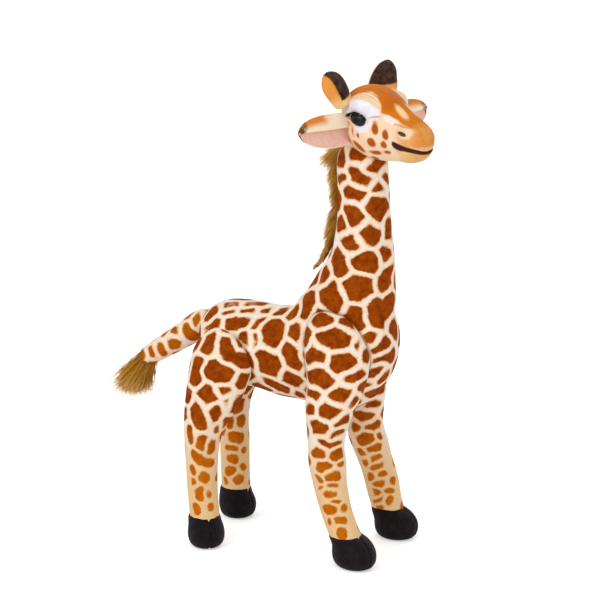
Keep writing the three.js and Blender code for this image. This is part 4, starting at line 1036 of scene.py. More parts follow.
# Upper brow with its wrinkles, then the blaze down the bridge of the nose.
lid = out_of_oval(ahead, height, LID_OVAL) - 1
brow = 1 - out_of_oval(ahead, height, BROW_OVAL)
over_eye = smooth_step(-6, -2, ahead) * smooth_step(46.5, 44, ahead)
paint = tinted(paint, BROW_WHITE, smooth_step(0.06, -0.06, lid) * smooth_step(47, 50, height) * over_eye)
paint = tinted(paint, BROW_TAN, smooth_step(-0.05, 0.05, lid) * smooth_step(50, 54, height) * over_eye)
up_brow = np.clip(lid, 0, None) / (np.clip(lid, 0, None) + np.clip(brow, 0, None) + 1e-6)
wrinkle = np.clip(np.cos(2 * np.pi * (BROW_WRINKLES * up_brow - 0.7)), 0, 1) ** 2
in_brow = smooth_step(0, 0.05, lid) * smooth_step(0, 0.04, brow) * smooth_step(51, 55, height)
paint = tinted(paint, WRINKLE_TAN, wrinkle * in_brow * smooth_step(0, 8, ahead) * 0.8)
flat_place = np.stack([ahead, height], axis=1)
# Painted shade along the seam under the cheek.
from_cheek_seam = away_from_line(flat_place, CHEEK_SEAM)
paint = tinted(paint, SEAM_SHADE, smooth_step(2.4, 0.4, from_cheek_seam) * smooth_step(6, 12, side) * 0.9)
from_nostril_crease = away_from_line(flat_place, NOSTRIL_CREASE)
blaze = height - np.interp(ahead, *np.array(BLAZE_EDGE).T) + wobble * 0.4
paint = tinted(paint, FACE_BLAZE, smooth_step(-1.1, 1.1, blaze))
mid_blaze = smooth_step(10, 30, ahead) * smooth_step(66, 50, ahead)
paint = tinted(paint, FACE_BLAZE_DEEP, smooth_step(0, 6, blaze) * mid_blaze * 0.7)
# A painted highlight in cream along the bridge of the nose.
bridge_highlight = smooth_step(-0.8, 1.6, oval_field(ahead, side, BRIDGE_HIGHLIGHT_OVAL))
paint = tinted(paint, BRIDGE_HIGHLIGHT_CREAM, bridge_highlight * smooth_step(45, 50, height) * 0.95)
paint = tinted(paint, MUZZLE_ORANGE, smooth_step(-1, 1, blaze) * smooth_step(76, 88, ahead) * 0.85)
# Painted shade in the crease over the nostril.
in_nostril_crease = smooth_step(1.6, 0.3, from_nostril_crease) * smooth_step(7, 10, side)
paint = tinted(paint, NOSTRIL_SHADE_ORANGE, in_nostril_crease * 0.5)
# Brushed streaks of the longer pile, along the muzzle and the blaze.
random = np.random.default_rng(17)
brushed = warped(skin_places, 1.6, 16, 12)
streak = sum(
    np.sin(brushed @ (random.uniform(-0.2, 0.2), *(random.normal(size=2) * tight)) + phase)
    for tight, phase in zip(STREAK_SPACINGS, random.uniform(0, 6, len(STREAK_SPACINGS)))
) / 4
furry = np.maximum(smooth_step(0, 4, blaze), smooth_step(60, 70, ahead))
paint *= 1 + (streak * STREAK_DEPTH * furry)[:, None]
paint = np.clip(paint, 0, 1)
# Dark inner corner of the lids, painted shade in the fold under the lid, and the mouth slit.
paint = tinted(paint, LID_BROWN, smooth_step(-0.2, 0.8, oval_field(ahead, height, LID_CORNER)) * 0.85)
paint = tinted(paint, SEAM_SHADE, smooth_step(-0.6, 0.6, oval_field(ahead, height, LID_FOLD)) * 0.8)
paint = tinted(paint, MOUTH_DARK, smooth_step(0.6, -0.6, from_mouth - mouth_half))

painted = head_skin.data.attributes.new("paint", "FLOAT_COLOR", "POINT")
painted.data.foreach_set("color", np.c_[paint, np.ones(len(paint))].astype(np.float32).ravel())
face_plush, tree, shader = new_material("face_plush", 0.88, 0.12)
pile_out = placed(tree, pile, Clumps=220.0, Depth=0.0004)
shade = mixed(tree, ramp(tree, pile_out["Mottle"], 0.3, 1.1), (0.78, 0.72, 0.68, 1), (1, 1, 1, 1))
face_tone = mixed(tree, FACE_SHADE, attribute(tree, "paint", "Color"), shade, "MULTIPLY")
coloured(tree, shader, face_tone, pile_out)
head_skin.data.materials.append(face_plush)

# Eyes: black moulded safety eyes, domed, seen between a puffed lid and a white under lid.
# Each has a strip of black lashes glued along its upper edge.
EYE_HALF_LONG = 10.4
EYE_HALF_HIGH = 6.6
EYE_DOME = 5
EYE_PLACE = (20.6, -24.6, 46.2)
EYE_TURN_OUT = np.radians(9)
EYE_TILT = np.radians(-6)
LASH_COUNT = 60
LASH_LENGTH = 6.4
LASH_THICKNESS = 0.9
LASH_DROOP = 0.55
LASH_STAND_OFF = 1.6
STRAND_JOINTS = 4
eye_plastic, tree, shader = new_material("eye_plastic", 0.22, 0)
shader["Specular IOR Level"].default_value = 0.25
shader["Coat Weight"].default_value = 0.12
shader["Coat Roughness"].default_value = 0.1
coloured(tree, shader, mixed(tree, ramp(tree, noise(tree, 500, 2), 0.3, 0.8), (3, 3, 5), (12, 10, 14)))
lash_felt, tree, shader = new_material("lash_felt", 0.85, 0.1)
coloured(tree, shader, mixed(tree, noise(tree, 1500, 2), (12, 10, 12), (42, 34, 34)))


def side_frame(turn_out, tilt):
    """Axes for a piece set on the head's right side: outwards, along it and up it. The piece
    faces out, turned some way towards the front, and is tilted about the way it faces."""
    facing = np.array((np.sin(turn_out), -np.cos(turn_out), 0))
    along = np.array((np.cos(turn_out), np.sin(turn_out), 0))
    return facing, along * np.cos(tilt) + UP * np.sin(tilt), UP * np.cos(tilt) - along * np.sin(tilt)


def blades(roots, ways, lengths, width, droop, first=0):
    """Thin tapered strands as three-sided tubes: each point is the root plus its way times a
    share of the length, bent down by the square of the share, and its section shrinks to the
    tip. Returns the points in one array, and the faces, whose corners count from first."""
    share = np.linspace(0, 1, STRAND_JOINTS)
    way = ways / np.linalg.norm(ways, axis=1, keepdims=True)
    side = np.cross(way, (0.31, 0.17, 0.93))
    side /= np.linalg.norm(side, axis=1, keepdims=True)
    other = np.cross(way, side)
    spine = roots[:, None] + way[:, None] * (share[None, :, None] * lengths[:, None, None])
    spine = spine + droop[:, None] * (share**2)[None, :, None] * lengths[:, None, None]
    angle = np.arange(3) * 2 * np.pi / 3
    ring = np.cos(angle)[:, None] * side[:, None] + np.sin(angle)[:, None] * other[:, None]
    half = width * (1 - 0.85 * share**1.5) / 2
    points = spine[:, :, None] + ring[:, None] * half[None, :, None, None]
    start = first + np.arange(len(roots))[:, None, None] * STRAND_JOINTS * 3
    quads = (quads_between(STRAND_JOINTS, 3)[None] + start).reshape(-1, 4)
    ends = np.array([[2, 1, 0], [-3, -2, -1]]) + np.array([[0], [STRAND_JOINTS * 3]])
    ends = (ends[None] + start).reshape(-1, 3)
    return points.reshape(-1, 3), quads.tolist() + ends.tolist()


def dome_grid(half_long, half_high, dome, rings=12, sides=40):
    """An oval lens: rings shrink by the cosine of an angle while the front rises by its sine,
    and the back is a shallow bowl the other way."""
    angle = np.linspace(np.pi / 2 - 0.02, -np.pi / 2 + 0.02, rings * 2)
    turn = np.linspace(0, 2 * np.pi, sides, endpoint=False)
    spread = np.cos(angle)[:, None]
    height = np.where(angle > 0, dome, dome * 0.6) * np.sin(angle)
    return np.stack(
        [
            spread * np.cos(turn) * half_long,
            spread * np.sin(turn) * half_high,
            np.repeat(height[:, None], sides, axis=1),
        ],
        axis=2,
    )


def dome_piece(name, place, axes, lens, flip, material):
    """A piece through the dome's grid, set on the head at a place and along its axes."""
    facing, along, up = axes
    places = place + lens[..., :1] * along + lens[..., 1:2] * up + lens[..., 2:] * facing
    piece = mesh_piece(name, from_head(places.reshape(-1, 3) * flip), closed_faces(*lens.shape[:2]))
    piece.data.materials.append(material)
    piece.data.shade_smooth()
    return piece


# Which way from the midline each side lies.
SIDES = {"right": -1, "left": 1}
centre = np.array(EYE_PLACE)
facing, along, up = eye_axes = side_frame(EYE_TURN_OUT, EYE_TILT)
for name, side in SIDES.items():
    flip = np.array((1, -side, 1))
    lens = dome_grid(EYE_HALF_LONG, EYE_HALF_HIGH, EYE_DOME)
    eye = dome_piece(f"eye_{name}_dome", centre, eye_axes, lens, flip, eye_plastic)
    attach(eye, "head")
    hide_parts(f"eye_{name}")
    share = np.linspace(0, 1, LASH_COUNT)
    angle = np.pi * (0.97 - 0.9 * share)
    random = np.random.default_rng(11)
    roots = (
        centre
        + np.cos(angle)[:, None] * EYE_HALF_LONG * along
        + np.sin(angle)[:, None] * EYE_HALF_HIGH * up
        + facing * LASH_STAND_OFF
    )
    # A lash points outwards, up, and away from the eye's middle.
    ways = facing * 0.9 + along * (np.cos(angle) * 0.55)[:, None] + up * 0.42
    ways = ways + random.normal(size=ways.shape) * 0.07
    lengths = LASH_LENGTH * (0.75 + 0.5 * np.sin(np.pi * share)) * random.uniform(0.85, 1.1, LASH_COUNT)
    droop = np.tile(-up * LASH_DROOP, (LASH_COUNT, 1))
    strands, strand_faces = blades(roots, ways, lengths, LASH_THICKNESS, droop)
    lashes = mesh_piece(f"eyelash_{name}_strip", from_head(strands * flip), strand_faces)
    lashes.data.materials.append(lash_felt)
    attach(lashes, "head")
    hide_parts(f"eyelash_{name}")

# Mouth lining and nostrils: the lining is a strip of dark felt let into the slit, and each
# nostril is a short bar stitched with dark thread, a little sunk in the pile.
NOSTRIL_HALF_LONG = 4.9
NOSTRIL_HALF_HIGH = 2.1
NOSTRIL_DOME = 0.9
NOSTRIL_PLACE = (75.6, -18.2, 39.2)
NOSTRIL_TURN_OUT = np.radians(14)
NOSTRIL_TILT = np.radians(-14)
LINING_HALF_DEEP = 1.8
LINING_SUNK = 2.6
LINING_CENTRE = (45, 0, 28)
# Share of the slit's height that the lining fills.
LINING_FILL = 0.9
# The lining is as far out as the skin this far above the slit. The nearest skin is looked for
# with a radian round the mouth counted as this many millimetres.
SKIN_ABOVE_SLIT = 4.5
SKIN_TURN_REACH = 25
mouth_felt, tree, shader = new_material("mouth_felt", 0.92, 0.1)
coloured(tree, shader, mixed(tree, noise(tree, 900, 3), (44, 15, 16), (86, 40, 34)))
dark_thread, tree, shader = new_material("dark_thread", 0.8, 0.1)
coloured(tree, shader, mixed(tree, noise(tree, 1400, 2, (1, 1, 4)), (58, 40, 22), (104, 78, 44)))


def rod_grid(line, half_high, half_deep, out_way, sides=10):
    """An oval rod along a line: rings of the two half sizes, across the line and outwards."""
    run = np.gradient(line, axis=0)
    run /= np.linalg.norm(run, axis=1, keepdims=True)
    across = np.cross(out_way, run)
    across /= np.linalg.norm(across, axis=1, keepdims=True)
    return oval_grid(line, across * half_high[:, None], out_way * half_deep, sides)


# The lining follows the skin just above the slit, a little way in, from corner to corner.
half_line = smooth_rows(MOUTH_LINE, 30)
line_turn = turn_round_mouth(half_line)
above = half_line[:, 2:] + SKIN_ABOVE_SLIT - skin_places[:, 2]
off = ((line_turn[:, None] - turn) * SKIN_TURN_REACH) ** 2 + above**2
on_skin = skin_places[off.argmin(axis=1)]
reach = np.hypot(on_skin[:, 1], on_skin[:, 0] - MOUTH_CENTRE)
reach = np.convolve(np.pad(reach, 2, "edge"), np.ones(5) / 5, "valid")
half_line[:, 0] = MOUTH_CENTRE + reach * np.cos(line_turn)
half_line[:, 1] = reach * np.sin(line_turn)
whole = np.concatenate([half_line * (1, -1, 1), half_line[-2::-1]])
away = whole - LINING_CENTRE
away[:, 2] = 0
away /= np.linalg.norm(away, axis=1, keepdims=True)
lip_half = np.interp(turn_round_mouth(abs(whole)), corner_turns, MOUTH_OPENS[::-1]) * LINING_FILL
lining = rod_grid(whole - away * LINING_SUNK, lip_half, LINING_HALF_DEEP, away)
places = from_head(lining.reshape(-1, 3))
mouth_strip = mesh_piece("mouth_strip", places, closed_faces(*lining.shape[:2]))
mouth_strip.data.materials.append(mouth_felt)
mouth_strip.data.shade_smooth()
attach(mouth_strip, "head")
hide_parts("mouth_lining")
nostril_axes = side_frame(NOSTRIL_TURN_OUT, NOSTRIL_TILT)
for name, side in SIDES.items():
    flip = np.array((1, -side, 1))
    lens = dome_grid(NOSTRIL_HALF_LONG, NOSTRIL_HALF_HIGH, NOSTRIL_DOME, 6, 20)
    bar = dome_piece(f"nostril_{name}_bar", np.array(NOSTRIL_PLACE), nostril_axes, lens, flip, dark_thread)
    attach(bar, "head")
    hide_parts(f"nostril_{name}")

# Horns: two lobes of plush, stuffed and sewn to the crown. Each has a dark brown front panel
# that runs down to a point at the base, and an orange back panel that is cream at its foot.
HORN_BASES = {"right": (0, -24.5, 57), "left": (0, 20, 57)}
HORN_TIPS = {"right": (-8, -42.5, 90.5), "left": (-8, 39.3, 94)}
# Share of the length, half width and half depth. The left one has been sewn on broader.
HORN_ROWS = {
    "right": [
        (0, 9.6, 8.5), (0.15, 11.4, 9), (0.35, 12.8, 9.3), (0.52, 13.6, 9.3), (0.7, 13, 8.6),
        (0.85, 9.9, 7), (0.94, 5.6, 4.8), (0.985, 2.8, 2.6), (1, 0.3, 0.3),
    ],
    "left": [
        (0, 16.6, 8), (0.15, 17.1, 9), (0.35, 16.8, 9.6), (0.55, 15.4, 9.2), (0.72, 12.8, 8),
        (0.86, 9.5, 6.8), (0.95, 5, 4.6), (0.99, 2.6, 2.4), (1, 0.3, 0.3),
    ],
}
HORN_SIDES = 40
HORN_VOXEL = 2.2
HORN_SMOOTHING = 3
HORN_SWELL_CAP = 1.0
HORN_SEAM_DEPTH = 0.9
HORN_SEAM_HALF = 0.8
# How far towards the inner side the panel's outer edge is, at its foot and its top, how high
# above the base its foot is, and how much that rises towards the inner side.
HORN_PANELS = {"right": (-6.5, -4, 6, 0.42), "left": (-13, -11, 15.5, 0)}
# How far behind the horn's middle the panel ends, and the share of a height above its sloping
# foot that counts as distance from it.
PANEL_BEHIND = 1.5
PANEL_FOOT_SHARE = 0.7
HORN_TURN_IN = np.radians(6)
HORN_DARK = (40, 22, 18)
HORN_DARK_LIGHT = (86, 56, 46)
HORN_ORANGE = (226, 146, 66)
HORN_CREAM = (246, 200, 140)
horn_plush, tree, shader = new_material("horn_plush", 0.9, 0.15)
pile_out = placed(tree, pile, Fibres=800.0, Clumps=180.0, Depth=0.0009)
ragged = sums(tree, "MULTIPLY_ADD", noise(tree, 420, 3), 1.6, -0.8)
panel = sums(tree, "ADD", attribute(tree, "panel"), ragged)
dark_tone = mixed(tree, ramp(tree, pile_out["Mottle"], 0.5, 1.0), HORN_DARK, HORN_DARK_LIGHT)
warm_tone = mixed(tree, ramp(tree, attribute(tree, "rise"), 0.05, 0.5), HORN_CREAM, HORN_ORANGE)
coloured(tree, shader, mixed(tree, ramp(tree, panel, -0.8, 0.8), warm_tone, dark_tone), pile_out)
for name, side in SIDES.items():
    base, tip = np.array(HORN_BASES[name]), np.array(HORN_TIPS[name])
    length = np.linalg.norm(tip - base)
    way = (tip - base) / length
    facing = np.array((np.cos(HORN_TURN_IN), -side * np.sin(HORN_TURN_IN), 0.1))
    facing -= way * (facing @ way)
    facing /= np.linalg.norm(facing)
    across = np.cross(way, facing)
    share, half, deep = smooth_rows(HORN_ROWS[name], SKIN_RINGS).T
    middles = base + (tip - base) * share[:, None]
    lobe = oval_grid(middles, across * half[:, None], facing * deep[:, None], HORN_SIDES)
    lobe = from_head(lobe.reshape(-1, 3)).reshape(lobe.shape)
    horn = fused(f"horn_{name}_lobe", [lobe], HORN_VOXEL, HORN_SMOOTHING)
    horn = stuffed(horn, HORN_SWELL_CAP)
    points = corners_of(horn) / MM
    places = in_head(points) - base
    rise = places @ way / length
    inner = places @ across * np.sign(-side * across[1])
    front = places @ facing
    edge_low, edge_high, foot, slope = HORN_PANELS[name]
    edge = np.interp(rise, (0.1, 1), (edge_low, edge_high))
    above_foot = places[:, 2] - foot - slope * (inner - edge_low)
    panel = np.minimum(front + PANEL_BEHIND, inner - edge)
    panel = np.minimum(panel, above_foot * PANEL_FOOT_SHARE)
    set_field(horn, "panel", panel)
    set_field(horn, "rise", rise)
    groove = HORN_SEAM_DEPTH * np.exp(-((panel / HORN_SEAM_HALF) ** 2))
    move_corners(horn, (points - normals_of(horn) * groove[:, None]) * MM)
    horn.data.materials.append(horn_plush)
    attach(horn, "head")
    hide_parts(f"horn_{name}_front", f"horn_{name}_back")

# Ears: a leaf of cream and orange plush, folded over along its top edge and lined with pink
# velour. Each is sewn into the side of the head behind the eye.
EAR_LENGTH = 59
EAR_RINGS = 44
EAR_SIDES = 34
LINING_SIDES = 26
# How far each ear is lifted from level, and where it is sewn on: ahead, out and up.
EAR_LIFTS = {"right": np.radians(0.5), "left": np.radians(6)}
EAR_ROOT = (1.2, 22.5, 34)
# Share of the length, and half width.
EAR_ROWS = [
    (0, 14.5), (0.12, 15.6), (0.3, 16.2), (0.5, 15.8), (0.68, 14.2), (0.8, 12.2), (0.9, 9.4), (0.96, 6.4),
    (0.99, 3.2), (1, 1),
]
# Round the leaf from the lower rim, behind, and over the top to the front: share of the half
# width up, and millimetres forward.
EAR_FOLD = [
    (-1, 2.4), (-0.84, -1.6), (-0.35, -4.6), (0.25, -5.6), (0.75, -3.6), (1, 0.4), (0.88, 4), (0.5, 5.6),
    (0.22, 5.4), (0.1, 3.8),
]
LINING_FOLD = [
    (-0.97, 3), (-0.8, -0.2), (-0.35, -3), (0.2, -3.8), (0.6, -2.4), (0.8, 0.6), (0.66, 2.8),
    (0.35, 3.6),
]
# How much shallower the fold gets towards the tip, and how far the leaf sags at its middle.
EAR_FLATTENS = 0.55
EAR_SAG = -0.8
EAR_THICKNESS = 1.5
LINING_THICKNESS = 0.9
LINING_AHEAD = 0.3
EAR_CREAM = (248, 226, 196)
EAR_ORANGE = (216, 128, 52)
EAR_TIP = (96, 70, 30)
EAR_PINK = (250, 206, 190)
EAR_PINK_DEEP = (234, 176, 158)
ear_plush, tree, shader = new_material("ear_plush", 0.9, 0.12)
pile_out = placed(tree, pile, Clumps=200.0, Depth=0.0006)
ragged = sums(tree, "MULTIPLY_ADD", noise(tree, 160, 3), 0.24, -0.12)
along = sums(tree, "ADD", attribute(tree, "along"), ragged)
over_top = ramp(tree, attribute(tree, "over"), 0.25, 0.8)
tone = mixed(tree, sums(tree, "MULTIPLY", ramp(tree, along, 0.34, 0.6), over_top), EAR_CREAM, EAR_ORANGE)
coloured(tree, shader, mixed(tree, ramp(tree, along, 0.86, 0.98), tone, EAR_TIP), pile_out)
ear_velour, tree, shader = new_material("ear_velour", 0.85, 0.2, (255, 220, 210))
pile_out = placed(tree, pile, Clumps=260.0, Depth=0.0003)
velour_tone = mixed(tree, ramp(tree, pile_out["Mottle"], 0.1, 1.0), EAR_PINK_DEEP, EAR_PINK)
coloured(tree, shader, velour_tone, pile_out)


def leaf_grid(fold, columns, side, lift, ahead_shift=0):
    """A sheet along the ear's length: at each share of it, the fold's curve widened by the
    ear's half width and deepened less towards the tip. The middle line runs straight out and
    the whole leaf is lifted about its root."""
    share, half = smooth_rows(EAR_ROWS, EAR_RINGS).T
    up_share, ahead = smooth_rows(fold, columns).T
    flat = 1 - EAR_FLATTENS * share**2
    out_way = np.array((-0.02, np.cos(lift), 0.02 + np.sin(lift)))
    up_way = np.array((-0.2, -np.sin(lift), 0.98))
    front_way = np.array((0.98, 0, 0.2))
    sag = EAR_SAG * np.sin(np.pi * share)
    grid = (
        EAR_ROOT
        + out_way * (share * EAR_LENGTH)[:, None, None]
        + up_way * (half[:, None] * up_share[None] + sag[:, None])[..., None]
        + front_way * (flat[:, None] * ahead[None] + ahead_shift)[..., None]
    )
    return grid * (1, side, 1), share, up_share


def sheet_piece(name, grid, thickness, flip):
    """A sheet of cloth through the grid, with its thickness, finely divided."""
    faces = quads_between(*grid.shape[:2], closed=False)
    faces = faces[:, ::-1] if flip else faces
    piece = mesh_piece(name, from_head(grid.reshape(-1, 3)), faces.tolist())
    thick = piece.modifiers.new("thickness", "SOLIDIFY")
    thick.thickness = thickness * MM
    thick.offset = 0
    fine = piece.modifiers.new("fine", "SUBSURF")
    fine.levels = fine.render_levels = 1
    piece.data.shade_smooth()
    return piece


for name, side in SIDES.items():
    grid, share, up_share = leaf_grid(EAR_FOLD, EAR_SIDES, side, EAR_LIFTS[name])
    outer = sheet_piece(f"ear_{name}_plush", grid, EAR_THICKNESS, side > 0)
    set_field(outer, "along", np.repeat(share, len(up_share)))
    set_field(outer, "over", np.tile(up_share, len(share)))
    outer.data.materials.append(ear_plush)
    grid = leaf_grid(LINING_FOLD, LINING_SIDES, side, EAR_LIFTS[name], LINING_AHEAD)[0]
    lining = sheet_piece(f"ear_{name}_velour", grid, LINING_THICKNESS, side > 0)
    lining.data.materials.append(ear_velour)
    for piece, slot, node in ((outer, "ear_plush", "outer"), (lining, "ear_lining", "lining")):
        settled(piece)
        piece.data.shade_smooth()
        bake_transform(piece)
        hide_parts(f"ear_{name}_{node}")

# Tail: a stuffed plush tube sewn into the rump, with a tuft of long golden pile at its end.
TAIL_DROP = np.radians(33.5)
TAIL_LENGTH = 74
# Share of the length, and radius.
TAIL_ROWS = [
    (-0.3, 0.5), (-0.28, 9), (-0.15, 14.5), (0, 15), (0.25, 13.6), (0.5, 12.6), (0.75, 11.6),
    (0.93, 10.4), (1, 7.5), (1.03, 0.5),
]
TAIL_SIDES = 40
TAIL_VOXEL = 3
TAIL_SMOOTHING = 4
TAIL_SWELL_CAP = 1.2
TAIL_BLEND = 14
TAIL_SAG = -0.6
TAIL_SPACING = 15
TAIL_HALF_STROKE = 2.5
TAIL_PATCH_REACH = 3.6
TAIL_PATCH_LIMIT = 3.5
TAIL_WARMTH = 0.2
TAIL_ORANGE = 0.6
TUFT_STRANDS = 2600
TUFT_LENGTH = 50.4
TUFT_DROP = np.radians(59)
TUFT_START = 0.86
TUFT_HALF_WIDTH = 8.5
TUFT_HALF_HEIGHT = 9.4
# How far a strand's way turns out for each millimetre of its root from the middle.
TUFT_TURN_OUT = 0.021
TUFT_STRAND_THICKNESS = 0.75
# Share of the tuft's length, and half the thickness of the core that its strands are sewn to.
TUFT_CORE_ROWS = [(0, 1), (0.02, 7), (0.2, 10.5), (0.45, 10), (0.7, 6), (0.8, 0.5)]
TUFT_CLUMPS = 28
# What the core keeps in place of a strand's own number and its share from root to tip.
CORE_STRAND = 0.3
CORE_TIP = 0.15
TUFT_DARK = (150, 96, 8)
TUFT_GOLD = (208, 152, 46)
TUFT_TIP = (246, 198, 122)
tail_root = joint["tail_lift"]


def dropped(drop):
    """The way back and down by an angle, and the way up from it."""
    return np.array((-np.cos(drop), 0, -np.sin(drop))), np.array((-np.sin(drop), 0, np.cos(drop)))


tail_way, tail_up = dropped(TAIL_DROP)
share, radius = smooth_rows(TAIL_ROWS, SKIN_RINGS).T
droop = TAIL_SAG * np.sin(np.pi * np.clip(share, 0, 1))
middles = tail_root + tail_way * (share * TAIL_LENGTH)[:, None] + tail_up * droop[:, None]
radius = np.maximum(radius, 0.5)[:, None]
tail_grid = oval_grid(middles, LEFT * radius, tail_up * radius, TAIL_SIDES)
tail_skin = stuffed(fused("tail_skin", [tail_grid], TAIL_VOXEL, TAIL_SMOOTHING), TAIL_SWELL_CAP)
field, nearest = patch_field(tail_skin, TAIL_SPACING, TAIL_HALF_STROKE, lambda places: TAIL_PATCH_REACH)
set_field(tail_skin, "patch", np.minimum(field, TAIL_PATCH_LIMIT - nearest))
set_field(tail_skin, "warmth", np.full(len(field), TAIL_WARMTH))
set_field(tail_skin, "orange", np.full(len(field), TAIL_ORANGE))
tail_skin.data.materials.append(printed_plush)
reach = tail_way * TAIL_BLEND
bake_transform(tail_skin)
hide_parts("tail_cover", "tail_filling")

# The long pile of the tuft and the mane: each strand has its own tone, is in shade at its
# root, and many have a paler tip.
long_pile, tree, shader = new_material("long_pile", 0.7, 0.2)
strand, tip = attribute(tree, "strand"), attribute(tree, "tip")
strand_tone = mixed(tree, strand, TUFT_DARK, TUFT_GOLD)
light_end = sums(tree, "MULTIPLY", ramp(tree, tip, 0.5, 0.95), ramp(tree, strand, 0.05, 0.75))
strand_tone = mixed(tree, light_end, strand_tone, TUFT_TIP)
root_shade = mixed(tree, ramp(tree, tip, 0.0, 0.4), (0.74, 0.68, 0.6, 1), (1, 1, 1, 1))
coloured(tree, shader, mixed(tree, 1.0, strand_tone, root_shade, "MULTIPLY"))


def pile_piece(name, roots, ways, lengths, width, droop, core, random):
    """Strands on a closed core, with each strand's own number and its share from root to tip
    kept for the colours. The core counts as root."""
    core_points = core.reshape(-1, 3)
    count = len(core_points)
    strands, strand_faces = blades(roots, ways, lengths, width, droop, count)
    faces = closed_faces(*core.shape[:2]) + strand_faces
    piece = mesh_piece(name, np.concatenate([core_points, strands]), faces)
    own = np.repeat(random.uniform(0, 1, len(roots)), STRAND_JOINTS * 3)
    along = np.tile(np.repeat(np.linspace(0, 1, STRAND_JOINTS), 3), len(roots))
    set_field(piece, "strand", np.concatenate([np.full(count, CORE_STRAND), own]))
    set_field(piece, "tip", np.concatenate([np.full(count, CORE_TIP), along]))
    piece.data.materials.append(long_pile)
    return piece


random = np.random.default_rng(21)
tuft_way, tuft_up = dropped(TUFT_DROP)
tuft_start = tail_root + tail_way * TAIL_LENGTH * TUFT_START + tuft_up
core_share, core_half = smooth_rows(TUFT_CORE_ROWS, 24).T
core_middles = tuft_start + tuft_way * (core_share * TUFT_LENGTH)[:, None]
core_half = np.maximum(core_half, 0.4)[:, None]
tuft_core = oval_grid(core_middles, LEFT * core_half * 0.75, tuft_up * core_half, 20)
angle = random.uniform(0, 2 * np.pi, TUFT_STRANDS)
spread = np.sqrt(random.uniform(0, 1, TUFT_STRANDS))
back = random.uniform(0, 0.45, TUFT_STRANDS)
across = np.cos(angle)[:, None] * LEFT * TUFT_HALF_WIDTH
across = across + np.sin(angle)[:, None] * tuft_up * TUFT_HALF_HEIGHT
roots = tuft_start + tuft_way * (back * TUFT_LENGTH)[:, None] + across * spread[:, None]
clump = np.random.default_rng(5).normal(size=(TUFT_CLUMPS, 3)) * 0.12
own_clump = clump[random.integers(0, TUFT_CLUMPS, TUFT_STRANDS)]
ways = tuft_way + across * spread[:, None] * TUFT_TURN_OUT + own_clump
ways = ways + random.normal(size=ways.shape) * 0.08
lengths = TUFT_LENGTH * (0.95 - back) * random.uniform(0.75, 1.08, TUFT_STRANDS)
lengths *= 0.93 + 0.14 * np.sin(angle)
bend = random.normal(size=ways.shape) * 0.08 + np.array((0, 0, -0.1))
tuft = pile_piece("tail_tuft_pile", roots, ways, lengths, TUFT_STRAND_THICKNESS, bend, tuft_core, random)
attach(tuft, "tail")
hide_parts("tail_tuft")

# Mane: a strip of the same long pile sewn into the seam down the back of the neck, brushed
# back and down.
MANE_STRANDS = 5200
MANE_LENGTH = 12.6
MANE_TOP = 438
MANE_BOTTOM = 292
MANE_HALF_WIDTH = 4.5
MANE_CORE_RINGS = 40
MANE_CORE_HALF = 3.5
MANE_STRAND_THICKNESS = 0.7
neck_rise, neck_ahead, neck_deep = smooth_rows(NECK_ROWS, 120).T[:3]


def neck_back(height):
    """The place ahead of the neck's back seam at a height, from the neck's rows."""
    middle = np.interp(height - neck_foot[2], neck_rise, neck_ahead)
    return neck_foot[0] + middle - np.interp(height - neck_foot[2], neck_rise, neck_deep)


core_height = np.linspace(MANE_TOP, MANE_BOTTOM, MANE_CORE_RINGS)
midline = np.full(MANE_CORE_RINGS, MIDLINE)
core_middles = np.stack([neck_back(core_height) - 0.5, midline, core_height], axis=1)
core_half = np.sin(np.linspace(0.02, np.pi - 0.02, MANE_CORE_RINGS))[:, None] ** 0.4
mane_core = oval_grid(
    core_middles, -AHEAD * core_half * MANE_CORE_HALF, LEFT * core_half * MANE_HALF_WIDTH, 16
)
random = np.random.default_rng(33)
height = MANE_BOTTOM + (MANE_TOP - MANE_BOTTOM) * random.uniform(0, 1, MANE_STRANDS) ** 0.9
side = random.uniform(-1, 1, MANE_STRANDS)
seam_back = neck_back(height) - 1.5 * (1 - side**2)
roots = np.stack([seam_back, MIDLINE + side * MANE_HALF_WIDTH, height], axis=1)
wave = np.sin(height / 7.5) * 0.25 + np.sin(height / 3.1 + 1) * 0.12
# Strands are longer and stand off more behind the head, and get short again at the top.
high = smooth_step(MANE_TOP - 36, MANE_TOP - 22, height)
high -= 1.1 * smooth_step(MANE_TOP - 14, MANE_TOP - 1, height)
ways = np.stack([-0.8 - 0.4 * high, side * 0.35 + wave * 0.5, -0.55 + wave + 0.35 * high], axis=1)
ways = ways + random.normal(size=ways.shape) * 0.16
ways[:, 2] = np.minimum(ways[:, 2], -0.2)
taper = smooth_step(MANE_BOTTOM - 8, MANE_BOTTOM + 30, height) + 1.7 * high
lengths = MANE_LENGTH * (0.3 + 0.7 * taper) * random.uniform(0.6, 1.1, MANE_STRANDS) * (1 + wave * 0.5)
bend = random.normal(size=ways.shape) * 0.1 + np.array((0.12, 0, -0.35))
mane = pile_piece("mane_pile", roots, ways, lengths, MANE_STRAND_THICKNESS, bend, mane_core, random)
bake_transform(mane)
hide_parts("mane")

# Inside: a coated wire in the neck and each leg, and the washers that lock the eyes. They
# keep their plain solids and get a finish.
coated_wire, tree, shader = new_material("coated_wire", 0.45, 0)
coloured(tree, shader, mixed(tree, noise(tree, 400, 3), (150, 152, 158), (196, 198, 202)))
shader["Metallic"].default_value = 0.6
washer_plastic, tree, shader = new_material("washer_plastic", 0.4, 0)
coloured(tree, shader, mixed(tree, noise(tree, 300, 3), (225, 225, 220), (244, 244, 240)))
inside = {f"{leg}_wire": coated_wire for leg in LEGS}
inside["neck_wire"] = coated_wire
inside["eye_washer_right"] = inside["eye_washer_left"] = washer_plastic
for node, material in inside.items():
    frame["nodes"][node].material_slots[0].material = material

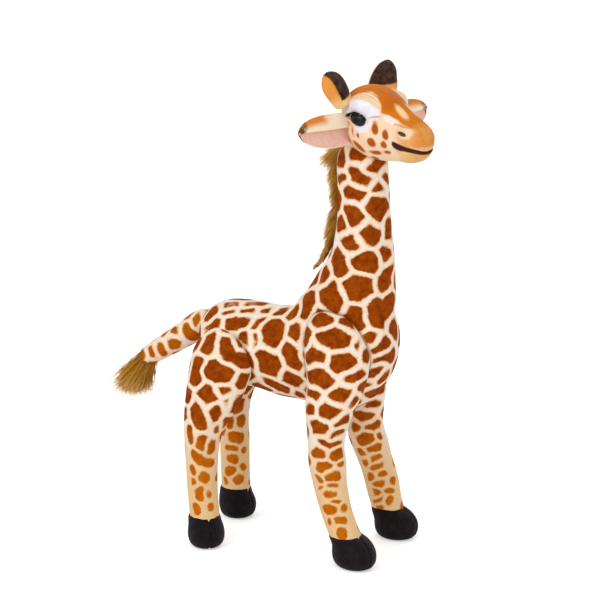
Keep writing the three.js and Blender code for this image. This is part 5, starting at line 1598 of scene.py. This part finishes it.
# Studio: a white floor that keeps the shadow, three soft boxes, and white behind.
WHITE = (1, 1, 1, 1)
FLOOR_REACH = 6
FLOOR_LIFT = 0.4
WORLD_LIGHT = 0.62
floor_mesh = bpy.data.meshes.new("floor")
floor_corners = np.array([(-1, -1, 0), (1, -1, 0), (1, 1, 0), (-1, 1, 0)]) * FLOOR_REACH
floor_mesh.from_pydata(floor_corners.tolist(), [], [(0, 1, 2, 3)])
floor = bpy.data.objects.new("floor", floor_mesh)
bpy.context.scene.collection.objects.link(floor)
floor_paint, tree, shader = new_material("floor_paint", 0.9, 0)
shader["Base Color"].default_value = WHITE
shader["Emission Color"].default_value = WHITE
seen = add(tree, "ShaderNodeLightPath").outputs["Is Camera Ray"]
tree.links.new(sums(tree, "MULTIPLY", seen, FLOOR_LIFT), shader["Emission Strength"])
floor_mesh.materials.append(floor_paint)

world = bpy.data.worlds.new("studio")
bpy.context.scene.world = world
world.use_nodes = True
tree = world.node_tree
rays = add(tree, "ShaderNodeLightPath").outputs
bright = sums(tree, "MAXIMUM", rays["Is Camera Ray"], rays["Is Glossy Ray"])
bright = sums(tree, "MAXIMUM", bright, rays["Is Transmission Ray"])
strength = sums(tree, "MULTIPLY_ADD", bright, 1 - WORLD_LIGHT, WORLD_LIGHT)
tree.nodes["Background"].inputs["Color"].default_value = WHITE
tree.links.new(strength, tree.nodes["Background"].inputs["Strength"])
# Soft boxes: the place in metres, the width and the watts. All look at one point.
LAMPS = {
    "key": ((-0.9, -2.0, 2.2), 1.6, 31),
    "fill": ((2.4, -1.6, 1.4), 1.6, 16),
    "back": ((0.3, 2.4, 2.2), 1.8, 14),
}
LAMPS_AIM = (0, 0, 0.22)
for name, (place, width, watts) in LAMPS.items():
    lamp = bpy.data.lights.new(name, "AREA")
    lamp.size = width
    lamp.energy = watts
    lamp_object = bpy.data.objects.new(name, lamp)
    lamp_object.location = place
    towards = Vector(LAMPS_AIM) - Vector(place)
    lamp_object.rotation_euler = towards.to_track_quat("-Z", "Y").to_euler()
    bpy.context.scene.collection.objects.link(lamp_object)
bpy.context.scene.view_settings.view_transform = "Standard"
